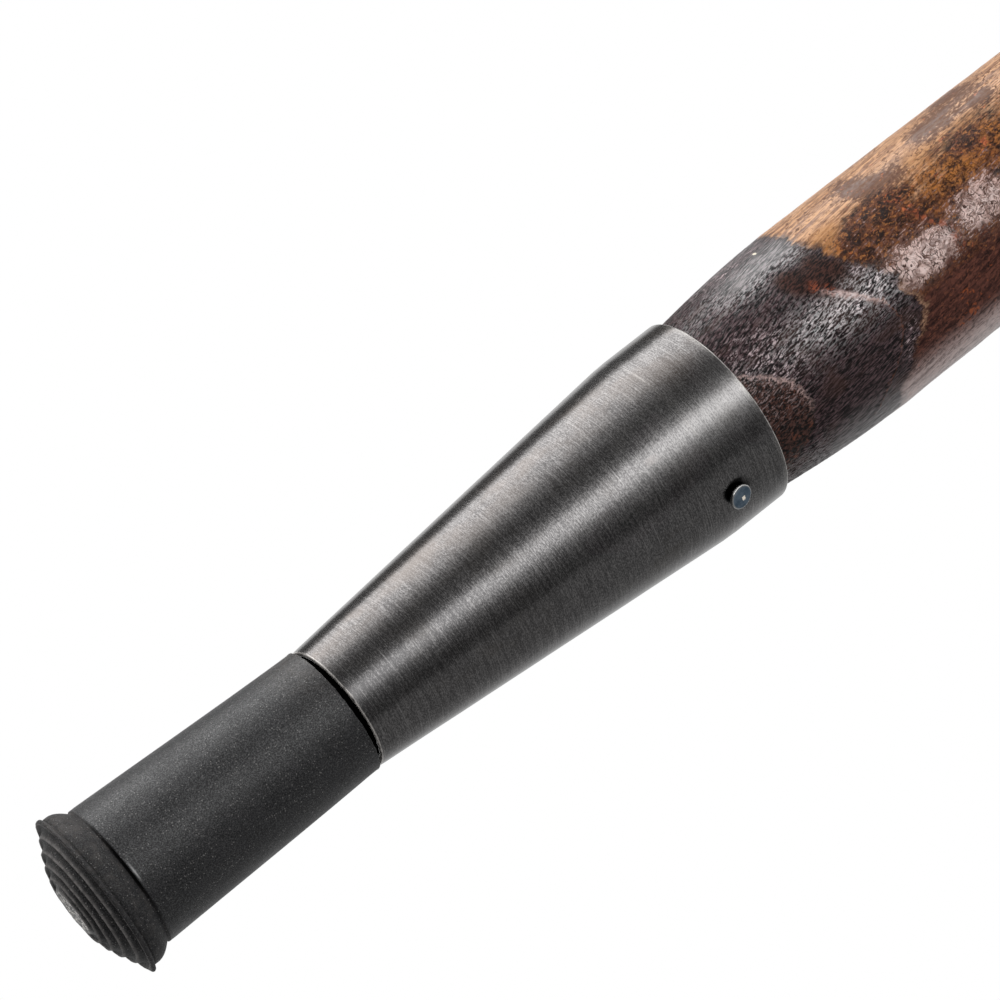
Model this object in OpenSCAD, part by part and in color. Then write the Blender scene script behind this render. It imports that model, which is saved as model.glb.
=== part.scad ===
// Hiking staff: a natural hardwood stick in a tapered steel ferrule, with a
// steel spike under a rubber cap that pulls off.
// The tread of the cap stands at the origin and the stick runs up along +Z.
// Every length is in millimetres.

/* [Staff] */
// Overall length, from the tread to the top of the stick
staff_length = 1220; // [900:5:1500]
// Diameter of the stick above its rasped taper
shaft_d = 31.4; // [28:0.2:36]
// Diameter of the stick below its rounded top
shaft_top_d = 29; // [26:0.5:36]
// Height of the rasped taper that leads into the ferrule
taper_h = 22; // [10:1:40]
// Height of the rounded top end
crown_h = 13; // [8:1:20]
// Sideways wander of the natural stick
wander = 5; // [0:0.5:10]
// Out-of-round of the natural stick
ovality = 0.4; // [0:0.1:1]
// Swelling at each trimmed branch knot
knot_rise = 1.8; // [0:0.1:3]
// Half height of a knot's swelling
knot_reach = 15; // [12:1:25]
// Length of stick between branch knots
knot_pitch = 128; // [90:1:250]

/* [Ferrule] */
// Outer diameter of the straight collar at the top
collar_d = 30.2; // [28:0.2:36]
// Height of the straight collar
collar_h = 10; // [6:0.5:16]
// Height of the whole sleeve
ferrule_h = 71; // [60:1:100]
// Outer diameter of the sleeve's lower edge
ferrule_foot_d = 19.6; // [18.5:0.1:23]
// Sheet thickness of the sleeve
sheet = 0.8; // [0.5:0.1:1.2]
// Width of the broken outer edge at both ends of the sleeve
edge_break = 0.25; // [0.1:0.05:0.4]

/* [Spike] */
// Length of the plug's taper inside the sleeve
plug_h = 16; // [10:1:24]
// Depth of the plug's face inside the sleeve's lower edge
plug_recess = 0.8; // [0.4:0.1:2]
// Diameter of the spigot that carries the rubber cap
spigot_d = 13; // [11:0.1:14]
// Number of grip grooves round the spigot
groove_count = 3; // [1:1:4]
// Width of a grip groove
groove_w = 2; // [1:0.1:3]
// Depth of a grip groove
groove_deep = 0.6; // [0.2:0.1:1]
// Pitch of the grip grooves
groove_pitch = 6; // [4:0.5:7]
// Diameter of the spike's shank
shank_d = 6; // [4:0.5:7]
// Length of the spike's shank in the plug
shank_l = 14; // [8:1:20]
// Size across the flats of the spike's hexagon
hex_af = 8; // [7:0.5:9]
// Height of the spike's hexagon
hex_h = 3.4; // [2:0.2:5]
// Diameter of the spike's point where it meets the hexagon
point_d = 7; // [5:0.5:7]
// Length of the spike's point
point_l = 5.8; // [4:0.2:7]
// Radius of the blunted tip
tip_r = 0.7; // [0.4:0.1:1.2]
// Gap between the tip and the steel disc in the cap
tip_gap = 1.3; // [0.5:0.1:3]

/* [Rubber cap] */
// Height of the whole cap
cap_h = 46; // [42:0.5:55]
// Outer diameter at the cap's lip
cap_lip_d = 20; // [18:0.1:22]
// Outer diameter of the cap's body where it meets the rim
cap_body_d = 22.3; // [21:0.1:24]
// Outer diameter of the rim
rim_d = 24.8; // [24.5:0.1:30]
// Height of the rim
rim_h = 4.3; // [3.8:0.1:7]
// Height of the rim's rounded shoulder
rim_shoulder = 3; // [1:0.1:3]
// Height of the domed tread below the rim
tread_h = 3.8; // [2:0.1:5]
// Diameter of the flat disc at the middle of the tread
tread_disc_d = 7.4; // [4:0.2:10]
// Number of grooves round the disc
tread_rings = 5; // [3:1:7]
// Depth of the tread's grooves
tread_groove = 0.65; // [0.2:0.05:0.9]
// Reach of the thin flash that the mould leaves round the rim
mould_flash = 0.35; // [0.1:0.05:0.5]
// Thickness of rubber under the steel disc
cap_floor = 7.6; // [6.5:0.1:9]
// Diameter of the steel disc in the cap's floor
disc_d = 15; // [14.8:0.1:17]
// Thickness of the steel disc
disc_t = 1.5; // [1:0.1:2]
// Gap between the cap's lip and the sleeve
cap_gap = 0.7; // [0.6:0.1:3]

/* [Nails] */
// Diameter of a nail's shank
nail_d = 1.6; // [1.2:0.1:2]
// Length of a nail below its head
nail_l = 13; // [8:1:13]
// Length of a nail's point
nail_point = 2.4; // [1:0.2:4]
// Diameter of a nail's head
nail_head_d = 3.7; // [3:0.1:4.5]
// Thickness of a nail's head
nail_head_t = 0.7; // [0.4:0.1:1]
// Height of the head's underside above the collar
nail_stand = 0.4; // [0.2:0.1:1]
// Distance of the nails below the sleeve's top edge
nail_drop = 9; // [4:0.5:9]

/* [Strap hole] */
// Distance of the strap hole below the top of the stick
strap_drop = 150; // [80:5:250]
// Bore of an eyelet
eyelet_bore = 6.4; // [4:0.2:8]
// Wall of an eyelet's barrel
eyelet_wall = 0.8; // [0.5:0.1:1.2]
// Length of an eyelet's barrel under its flange
eyelet_l = 8; // [5:0.5:10]
// Width of an eyelet's flange round its barrel
eyelet_flange = 1.8; // [1:0.1:2.5]
// Thickness of an eyelet's rolled flange at its crown
eyelet_t = 1; // [0.6:0.1:1.5]
// Thickness of an eyelet's flange at its edges
eyelet_rim = 0.25; // [0.1:0.05:0.5]

/* [Fits] */
// Clearance on the radius between fixed pieces
fit_gap = 0.05; // [0.02:0.01:0.1]
// Clearance on the radius between the spigot and the cap
slip_gap = 0.06; // [0.03:0.01:0.1]
// Clearance between faces that are stacked end to end
seat_gap = 0.3; // [0.1:0.1:0.6]

/* [Hidden] */

// Heights of the main seats
sleeve_z0 = cap_h + cap_gap;
sleeve_z1 = sleeve_z0 + ferrule_h;
collar_z0 = sleeve_z1 - collar_h;
plug_z0 = sleeve_z0 + plug_recess;
plug_z1 = plug_z0 + plug_h;
disc_z1 = cap_floor + disc_t;
spigot_z0 = disc_z1 + tip_gap + point_l + hex_h;
spigot_l = plug_z0 - spigot_z0;
nail_z = sleeve_z1 - nail_drop;
strap_z = staff_length - strap_drop;

// Radii that several pieces share
collar_r = collar_d / 2;
foot_r = ferrule_foot_d / 2;
neck_r = collar_r - sheet - fit_gap;
spigot_r = spigot_d / 2;
socket_r = spigot_r + slip_gap;
barrel_r = eyelet_bore / 2 + eyelet_wall;
flange_r = barrel_r + eyelet_flange;

// Form of the cap: how late the tread's dome curls up, how full its grooves
// are, and how far the edges of the lip are broken outside and inside
dome_power = 1.7;
groove_power = 1.2;
lip_break = 0.25;
lip_lead = 0.8;

// The natural stick is a loft of rings from inside the sleeve to its crown
stick_sides = 24;
stick_overlap = 4;
stick_inset = 0.15;
taper_rings = 5;
ring_pitch = 13;
crown_rings = 5;
taper_z1 = sleeve_z1 + taper_h;
crown_z0 = staff_length - crown_h;
crown_stop = 84;
// Turn of the stick's sweep and of its out-of-round from the ferrule to the top
sweep_turn = [330, 250];
sweep_start = [15, -40];
sweep_share = [1, 0.6];
oval_turn = 450;
// Half width of a knot, its turn from the knot below, and the first one's height
// as a share of the pitch
knot_spread = 26;
knot_turn = 137.5;
knot_first = 0.6;
knot_count = floor((crown_z0 - taper_z1) / knot_pitch);

// Inner radius of the sleeve at a height
function sleeve_bore_r(z) =
    let (rise = min(1, max(0, (z - sleeve_z0) / (collar_z0 - sleeve_z0))))
    foot_r + (collar_r - foot_r) * rise - sheet;

// Points on an arc about a centre
function arc(centre, r, from, to, steps) = [
    for (i = [0 : steps])
        let (a = from + (to - from) * i / steps)
        centre + r * [cos(a), sin(a)]
];

function total(list, i = 0) = i < len(list) ? list[i] + total(list, i + 1) : 0;

function ease(t) = t * t * (3 - 2 * t);

// Share of the free stick that lies below a height, from 0 to 1
function climb(z) = min(1, max(0, (z - sleeve_z1) / (staff_length - sleeve_z1)));

// Centre of the stick at a height: straight in the ferrule, wandering above it
function stick_axis(z) =
    let (t = climb(z))
    [
        for (k = [0, 1])
            wander * ease(min(1, 2 * t)) * sweep_share[k]
            * sin(sweep_turn[k] * t + sweep_start[k])
    ];

// Smallest turn between two directions
function turn_between(a, b) = abs((a - b + 900) % 360 - 180);

// Swelling of all the knots at a height and direction
function knot_swell(z, a) = knot_count < 1 ? 0 : total([
    for (i = [0 : knot_count - 1])
        let (
            up = (z - taper_z1 - (i + knot_first) * knot_pitch) / knot_reach,
            round = turn_between(a, i * knot_turn) / knot_spread
        )
        abs(up) < 3 ? knot_rise * exp(-up * up - round * round) : 0
]);

// Radius of the stick before its knots
function stick_r(z) =
    z < taper_z1
    ? let (t = max(0, (z - sleeve_z1) / taper_h))
      neck_r - stick_inset + (shaft_d / 2 - neck_r + stick_inset) * sin(90 * t)
    : shaft_d / 2
      + (shaft_top_d - shaft_d) / 2 * (z - taper_z1) / (crown_z0 - taper_z1);

// Surface point of the stick: height, direction, and the share of radius left
// by the rounded crown
function stick_point(z, a, left) =
    let (
        wild = ease(min(1, max(0, (z - sleeve_z1) / (2 * taper_h)))),
        oval = ovality * cos(2 * a + oval_turn * climb(z)),
        r = left * (stick_r(min(z, crown_z0)) + wild * (oval + knot_swell(z, a))),
        centre = stick_axis(z)
    )
    [centre[0] + r * cos(a), centre[1] + r * sin(a), z];

// Distance of an eyelet's seat from the stick's centre. The seat is cut as
// deep as the round of the stick needs under the whole flange.
strap_seat = sqrt(pow(stick_r(strap_z) - ovality, 2) - pow(flange_r + fit_gap, 2));

// Height and share of radius of every ring of the loft
stick_rings = let (
    body_h = crown_z0 - taper_z1,
    body_rings = ceil(body_h / ring_pitch)
) concat(
    [[sleeve_z1 - stick_overlap, 1]],
    [for (i = [0 : taper_rings - 1]) [sleeve_z1 + taper_h * i / taper_rings, 1]],
    [for (i = [0 : body_rings - 1]) [taper_z1 + body_h * i / body_rings, 1]],
    [
        for (i = [0 : crown_rings])
            let (a = crown_stop * i / crown_rings)
            [crown_z0 + crown_h * sin(a) / sin(crown_stop), cos(a)]
    ]
);

module stick() {
    n = stick_sides;
    last = len(stick_rings) - 1;
    points = [
        for (ring = stick_rings)
            for (i = [0 : n - 1])
                stick_point(ring[0], 360 * i / n, ring[1])
    ];
    walls = [
        for (k = [0 : last - 1])
            for (i = [0 : n - 1])
                let (
                    a = k * n + i,
                    b = k * n + (i + 1) % n
                )
                each [[a, a + n, b + n], [a, b + n, b]]
    ];
    ends = [
        for (i = [1 : n - 2])
            each [[0, i, i + 1], [last * n, last * n + i + 1, last * n + i]]
    ];
    polyhedron(points, concat(walls, ends));
}

// Round tenon at the stick's lower end, turned to fill the sleeve
module tenon() {
    foot_z = plug_z1 + seat_gap;
    rotate_extrude($fn = 96)
        polygon([
            [0, foot_z],
            [sleeve_bore_r(foot_z) - fit_gap, foot_z],
            [neck_r, collar_z0],
            [neck_r, sleeve_z1],
            [0, sleeve_z1]
        ]);
}

// Holes for the two nails, straight across the sleeve
module nail_holes(r) {
    translate([0, 0, nail_z])
        rotate([0, 90, 0])
            cylinder(h = 2 * collar_d, r = r, center = true, $fn = 32);
}

// Moves what follows to the strap hole, with +Z pointing out of the front
module at_strap_hole() {
    centre = stick_axis(strap_z);
    translate([centre[0], centre[1], strap_z])
        rotate([90, 0, 0])
            children();
}

module shaft() {
    color("saddlebrown")
        difference() {
            union() {
                tenon();
                stick();
            }
            for (side = [0, 180])
                rotate([0, 0, side])
                    translate([collar_r + nail_stand - nail_l - seat_gap, 0, nail_z])
                        rotate([0, 90, 0])
                            cylinder(h = collar_r, r = nail_d / 2 + fit_gap, $fn = 32);
            at_strap_hole()
                cylinder(h = 2 * shaft_d, r = barrel_r + fit_gap, center = true, $fn = 64);
            for (side = [0, 180])
                at_strap_hole()
                    rotate([side, 0, 0])
                        translate([0, 0, strap_seat])
                            cylinder(h = shaft_d, r = flange_r + fit_gap, $fn = 64);
        }
}

module ferrule_sleeve() {
    color("dimgray")
        difference() {
            rotate_extrude($fn = 128)
                polygon([
                    [foot_r - sheet, sleeve_z0],
                    [foot_r - edge_break, sleeve_z0],
                    [foot_r, sleeve_z0 + edge_break],
                    [collar_r, collar_z0],
                    [collar_r, sleeve_z1 - edge_break],
                    [collar_r - edge_break, sleeve_z1],
                    [collar_r - sheet, sleeve_z1],
                    [collar_r - sheet, collar_z0]
                ]);
            nail_holes(nail_d / 2 + fit_gap);
        }
}

// Turned plug: a taper wedged in the sleeve, and the grooved spigot below it
module ferrule_plug() {
    first_groove = spigot_z0 + spigot_l / 2 - (groove_count - 1) * groove_pitch / 2;
    color("gray")
        difference() {
            rotate_extrude($fn = 96)
                polygon([
                    [0, spigot_z0],
                    [spigot_r - edge_break, spigot_z0],
                    [spigot_r, spigot_z0 + edge_break],
                    [spigot_r, plug_z0],
                    [sleeve_bore_r(plug_z0) - fit_gap, plug_z0],
                    [sleeve_bore_r(plug_z1) - fit_gap, plug_z1],
                    [0, plug_z1]
                ]);
            for (i = [0 : groove_count - 1])
                translate([0, 0, first_groove + i * groove_pitch])
                    grip_groove();
            translate([0, 0, spigot_z0 - edge_break])
                cylinder(
                    h = shank_l + seat_gap + edge_break,
                    r = shank_d / 2 + fit_gap,
                    $fn = 64
                );
        }
}

// Round-bottomed groove about the spigot
module grip_groove() {
    rotate_extrude($fn = 96)
        polygon(concat(
            [[spigot_d, groove_w / 2], [spigot_d, -groove_w / 2]],
            [
                for (a = [-90 : 22.5 : 90])
                    [spigot_r - groove_deep * cos(a), groove_w / 2 * sin(a)]
            ]
        ));
}

// Hardened point with a hexagon for the spanner and a shank in the plug
module spike() {
    hex_z0 = spigot_z0 - hex_h;
    tip_z = hex_z0 - point_l;
    color("silver")
        union() {
            translate([0, 0, hex_z0])
                cylinder(h = hex_h, d = hex_af / cos(30), $fn = 6);
            translate([0, 0, spigot_z0 - hex_h / 2])
                cylinder(h = shank_l + hex_h / 2, d = shank_d, $fn = 64);
            rotate_extrude($fn = 64)
                polygon(concat(
                    [[0, hex_z0 + hex_h / 2], [0, tip_z]],
                    arc([0, tip_z + tip_r], tip_r, -75, -15, 4),
                    [[point_d / 2, hex_z0], [point_d / 2, hex_z0 + hex_h / 2]]
                ));
        }
}

module nail() {
    head_r = nail_head_d / 2;
    edge_r = nail_head_t / 2;
    translate([collar_r + nail_stand, 0, nail_z])
        rotate([0, 90, 0])
            rotate_extrude($fn = 48)
                polygon(concat(
                    [[0, -nail_l], [nail_d / 2, nail_point - nail_l], [nail_d / 2, 0]],
                    [[head_r, 0]],
                    arc([head_r - edge_r, nail_head_t - edge_r], edge_r, 0, 90, 4),
                    [[0, nail_head_t]]
                ));
}

module ferrule_nails() {
    color("lightsteelblue")
        for (side = [0, 180])
            rotate([0, 0, side])
                nail();
}

// Outline of the domed tread, from the edge of the middle disc out to the rim:
// narrow ridges that climb the dome, with a wide round groove between each pair
function tread_profile() =
    let (
        disc_r = tread_disc_d / 2,
        rim_r = rim_d / 2,
        steps = 8,
        last = tread_rings * steps
    )
    [
        for (i = [0 : last])
            let (dome = tread_h * pow(i / last, dome_power))
            [
                disc_r + (rim_r - disc_r) * i / last,
                dome + tread_groove * pow(abs(sin(180 * i / steps)), groove_power)
            ]
    ];

// Outline of the rim's shoulder, which rolls in to the cap's body
function rim_shoulder_profile() =
    let (
        body_r = cap_body_d / 2,
        foot_z = tread_h + rim_h - rim_shoulder,
        steps = 6
    )
    [
        for (i = [0 : steps])
            let (roll = cos(90 * i / steps))
            [body_r + (rim_d / 2 - body_r) * roll, foot_z + rim_shoulder * i / steps]
    ];

module rubber_cap() {
    rim_r = rim_d / 2;
    lip_r = cap_lip_d / 2;
    color([0.1, 0.1, 0.1])
        rotate_extrude($fn = 128)
            polygon(concat(
                [[0, 0]],
                tread_profile(),
                [[rim_r + mould_flash, tread_h + mould_flash / 2]],
                [[rim_r, tread_h + mould_flash]],
                rim_shoulder_profile(),
                [[lip_r, cap_h - lip_break], [lip_r - lip_break, cap_h]],
                [[socket_r + lip_lead, cap_h], [socket_r, cap_h - 2 * lip_lead]],
                [[socket_r, disc_z1 + fit_gap]],
                [[disc_d / 2 + fit_gap, disc_z1 + fit_gap]],
                [[disc_d / 2 + fit_gap, cap_floor], [0, cap_floor]]
            ));
}

module cap_disc() {
    color("darkgray")
        translate([0, 0, cap_floor])
            cylinder(h = disc_t, d = disc_d, $fn = 96);
}

// Flanged eyelet pressed into one end of the strap hole
module strap_eyelet() {
    bore_r = eyelet_bore / 2;
    color("darkgoldenrod")
        translate([0, 0, strap_seat])
            rotate_extrude($fn = 96)
                polygon(concat(
                    [[bore_r, -eyelet_l], [barrel_r, -eyelet_l], [barrel_r, 0], [flange_r, 0]],
                    [
                        for (a = [0 : 30 : 180])
                            [
                                (bore_r + flange_r) / 2 + (flange_r - bore_r) / 2 * cos(a),
                                eyelet_rim + (eyelet_t - eyelet_rim) * sin(a)
                            ]
                    ]
                ));
}

module strap_eyelet_front() {
    at_strap_hole()
        strap_eyelet();
}

module strap_eyelet_back() {
    at_strap_hole()
        rotate([180, 0, 0])
            strap_eyelet();
}

shaft();
ferrule_sleeve();
ferrule_plug();
spike();
ferrule_nails();
rubber_cap();
cap_disc();
strap_eyelet_front();
strap_eyelet_back();
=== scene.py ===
import math

import bmesh
import bpy
import numpy as np
from mathutils import Matrix, Vector, noise


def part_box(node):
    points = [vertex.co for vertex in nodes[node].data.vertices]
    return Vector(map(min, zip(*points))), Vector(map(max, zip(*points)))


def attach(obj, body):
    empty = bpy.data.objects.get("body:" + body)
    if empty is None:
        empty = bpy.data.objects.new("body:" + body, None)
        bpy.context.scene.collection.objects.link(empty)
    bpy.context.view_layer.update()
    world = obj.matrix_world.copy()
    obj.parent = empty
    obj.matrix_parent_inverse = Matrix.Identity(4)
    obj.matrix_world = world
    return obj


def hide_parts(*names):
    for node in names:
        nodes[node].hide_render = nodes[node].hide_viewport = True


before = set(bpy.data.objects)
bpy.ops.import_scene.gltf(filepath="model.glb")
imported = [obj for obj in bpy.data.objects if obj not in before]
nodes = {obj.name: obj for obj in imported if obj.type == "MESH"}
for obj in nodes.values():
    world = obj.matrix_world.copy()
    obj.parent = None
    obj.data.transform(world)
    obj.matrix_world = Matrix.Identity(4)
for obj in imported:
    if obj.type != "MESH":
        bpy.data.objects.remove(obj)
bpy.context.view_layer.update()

MM = 0.001


# Sizes in millimetres, from the frame where a node's box gives them

def low_mm(node):
    """Lowest corner of a CAD node, in millimetres."""
    return np.array(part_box(node)[0]) / MM


def high_mm(node):
    """Highest corner of a CAD node, in millimetres."""
    return np.array(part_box(node)[1]) / MM


SLEEVE_Z0 = low_mm("ferrule_sleeve")[2]
SLEEVE_Z1 = high_mm("ferrule_sleeve")[2]
COLLAR_R = high_mm("ferrule_sleeve")[0]
COLLAR_H = 10.0
COLLAR_Z0 = SLEEVE_Z1 - COLLAR_H
FOOT_R = 9.8
SHEET = 0.8
EDGE_BREAK = 0.25

CAP_H = high_mm("rubber_cap")[2]
LIP_R = 10.0
BODY_R = 11.15
RIM_R = 12.4
RIM_H = 4.3
SHOULDER_H = 3.0
TREAD_H = 3.8
DISC_R = 3.7
TREAD_RINGS = 5
TREAD_GROOVE = 0.65
DOME_POWER = 1.7
GROOVE_POWER = 1.2
FLASH = 0.35
SOCKET_R = 6.56
SOCKET_LEAD = 0.8
INSERT_Z0 = low_mm("cap_disc")[2]
INSERT_Z1 = high_mm("cap_disc")[2]
INSERT_R = high_mm("cap_disc")[0]
FIT_GAP = 0.05

NAIL_HEAD_R = high_mm("ferrule_nails")[1]
NAIL_Z = (low_mm("ferrule_nails")[2] + high_mm("ferrule_nails")[2]) / 2
NAIL_R = 0.8
NAIL_L = 13.0
NAIL_HEAD_T = 0.7
NAIL_STAND = 0.4

STICK_TOP = high_mm("shaft")[2]
STICK_FOOT = low_mm("shaft")[2]
STICK_R = 15.7
STICK_TOP_R = 14.5
NECK_R = COLLAR_R - SHEET - FIT_GAP
STICK_INSET = 0.15
TAPER_H = 22.0
CROWN_H = 13.0
CROWN_STOP = math.radians(84)
WANDER = 5.0
SWEEP_TURN = np.radians((330, 250))
SWEEP_START = np.radians((15, -40))
SWEEP_SHARE = (1.0, 0.6)
OVALITY = 0.4
OVAL_TURN = math.radians(450)
KNOT_RISE = 1.8
KNOT_REACH = 15.0
KNOT_PITCH = 128.0
KNOT_SPREAD = math.radians(26)
KNOT_TURN = math.radians(137.5)
KNOT_FIRST = 0.6
TAPER_Z1 = SLEEVE_Z1 + TAPER_H
CROWN_Z0 = STICK_TOP - CROWN_H

STRAP_LOW = low_mm("strap_eyelet_front")
STRAP_HIGH = high_mm("strap_eyelet_front")
STRAP_X = (STRAP_LOW[0] + STRAP_HIGH[0]) / 2
STRAP_Z = (STRAP_LOW[2] + STRAP_HIGH[2]) / 2
STRAP_FLANGE_R = (STRAP_HIGH[0] - STRAP_LOW[0]) / 2 + FIT_GAP
STRAP_BARREL_R = 4.0 + FIT_GAP
EYELET_T = 1.0

# Camera, fitted to the photograph
LENS_MM = 221.04
SENSOR_MM = 36.0
TURN = math.radians(44.4)
TILT = math.radians(18.4)
ROLL = math.radians(52.04)
AIM = Vector((0.0, 0.0, 0.0842))
DISTANCE = 0.8575
ASIDE = -0.005446
UP = 0.00699

# Direction of the camera about the staff, from which the marks on the pieces are measured
FACE = TURN - math.pi / 2


# Meshes

def ease(t):
    """Smooth step from 0 to 1."""
    t = np.clip(t, 0.0, 1.0)
    return t * t * (3 - 2 * t)


def bell(t):
    """Smooth hump of height 1."""
    return np.exp(-t ** 2)


def turn_from(angle, start):
    """Turn from a direction to each angle, between minus and plus half a turn."""
    return (angle - start + math.pi) % (2 * math.pi) - math.pi


def lopsided(turn, middle, left, right):
    """Smooth hump of height 1 round a direction, with its own width to each side, in degrees."""
    away = turn - math.radians(middle)
    width = np.where(away < 0, math.radians(left), math.radians(right))
    return bell(away / width)


def grain(points, scale, octaves=3, seed=0.0):
    """Fractal noise at points in millimetres. The scale is one value or one for each axis."""
    scaled = points * np.asarray(scale, float) + seed
    values = [noise.fractal(Vector(p), 1.0, 2.0, octaves) for p in scaled.reshape(-1, 3)]
    return np.array(values).reshape(points.shape[:-1])


def ring_grid(radii, heights, turns):
    """Points of a surface of revolution from arrays of radius and height by ring and turn."""
    return np.stack([radii * np.cos(turns), radii * np.sin(turns), heights], axis=-1)


def spin(profile, count):
    """Turns of a surface of revolution, and its radius and height by ring and turn."""
    turns = np.linspace(0, 2 * math.pi, count, endpoint=False)[None, :]
    return turns, np.repeat(profile[:, :1], count, axis=1), np.repeat(profile[:, 1:], count, axis=1)


def round_points(middle, radius, from_deg, to_deg, steps):
    """Points on an arc of a profile."""
    turns = np.radians(np.linspace(from_deg, to_deg, steps + 1))
    return [(middle[0] + radius * math.cos(a), middle[1] + radius * math.sin(a)) for a in turns]


def loop_faces(ring_count, turn_count, first=0, closed=False):
    """Quads between rings of points, wound so that a profile's left side is outside."""
    faces = []
    for ring in range(ring_count if closed else ring_count - 1):
        a = first + ring * turn_count
        b = first + ((ring + 1) % ring_count) * turn_count
        for i in range(turn_count):
            j = (i + 1) % turn_count
            faces.append((a + i, a + j, b + j, b + i))
    return faces


def capped_faces(ring_count, turn_count, first=0):
    """Quads between rings of points, and a face across the first and the last ring."""
    faces = loop_faces(ring_count, turn_count, first)
    for ring in (0, ring_count - 1):
        start = first + ring * turn_count
        faces.append(tuple(range(start, start + turn_count)))
    return faces


def add_object(name, data):
    """A new object in the scene."""
    thing = bpy.data.objects.new(name, data)
    bpy.context.scene.collection.objects.link(thing)
    return thing


def add_mesh(name, points, faces):
    """A new mesh object, from points in metres."""
    mesh = bpy.data.meshes.new(name)
    mesh.from_pydata(points, [], faces)
    return add_object(name, mesh)


def add_piece(name, points, faces, body, node):
    """A smooth mesh piece, from points in millimetres, that stands for a CAD node."""
    piece = add_mesh(name, (np.asarray(points).reshape(-1, 3) * MM).tolist(), faces)
    mesh = piece.data
    mesh.update()
    work = bmesh.new()
    work.from_mesh(mesh)
    bmesh.ops.recalc_face_normals(work, faces=work.faces)
    work.to_mesh(mesh)
    work.free()
    mesh.shade_smooth()
    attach(piece, body)
    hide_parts(node)
    return piece


def points_of(piece):
    """Points of a piece, in millimetres."""
    flat = np.empty(len(piece.data.vertices) * 3)
    piece.data.vertices.foreach_get("co", flat)
    return flat.reshape(-1, 3) / MM


def set_marks(piece, marks):
    """Keeps named values for each point, which the piece's material reads."""
    for name, values in marks.items():
        mark = piece.data.attributes.new(name, "FLOAT", "POINT")
        mark.data.foreach_set("value", np.asarray(values, np.float32).ravel())


def rod(length, radius, place, axis, sides=64):
    """Capped cylinder in millimetres about a middle point and along an axis, to cut with."""
    work = bmesh.new()
    bmesh.ops.create_cone(
        work, cap_ends=True, segments=sides, radius1=radius * MM, radius2=radius * MM, depth=length * MM
    )
    turn = Vector((0, 0, 1)).rotation_difference(Vector(axis)).to_matrix().to_4x4()
    bmesh.ops.transform(work, matrix=Matrix.Translation(Vector(place) * MM) @ turn, verts=work.verts)
    mesh = bpy.data.meshes.new("cutter")
    work.to_mesh(mesh)
    work.free()
    return add_object("cutter", mesh)


def cut_away(piece, cutters):
    """Cuts rods out of a piece for good, and deletes the rods."""
    for cutter in cutters:
        cut = piece.modifiers.new("cut", "BOOLEAN")
        cut.object = cutter
        cut.operation = "DIFFERENCE"
        cut.solver = "EXACT"
    graph = bpy.context.evaluated_depsgraph_get()
    mesh = bpy.data.meshes.new_from_object(piece.evaluated_get(graph))
    piece.modifiers.clear()
    spare = piece.data
    piece.data = mesh
    bpy.data.meshes.remove(spare)
    for cutter in cutters:
        spare = cutter.data
        bpy.data.objects.remove(cutter)
        bpy.data.meshes.remove(spare)


# Rubber cap

CAP_TURNS = 320
SOCKET_POINTS = 6
BEAD_R = 0.36
SLIT_DEEP = 0.5
SLIT_WIDE = 0.26
GLINT_RISE = 0.5
GLINT_WIDE = 0.11
SEAT_TILT = math.radians(6)
LEAN = 0.4
LIP_RISE = 0.36
LIP_DROP = 0.72
TAB_TURN = math.radians(86)
TAB_SPREAD = math.radians(7)
TAB_REACH = 0.35
FLASH_WAVE = 0.08
RIM_WAVE = 0.06
LIP_WAVE = 0.09
TREAD_WAVE = 0.05


def tread_point(share):
    """Radius and height of the tread, from the edge of its disc at 0 to the rim at 1."""
    dome = TREAD_H * share ** DOME_POWER
    groove = abs(math.sin(math.pi * share * TREAD_RINGS)) ** GROOVE_POWER
    return DISC_R + (RIM_R - DISC_R) * share, dome + TREAD_GROOVE * groove


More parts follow.
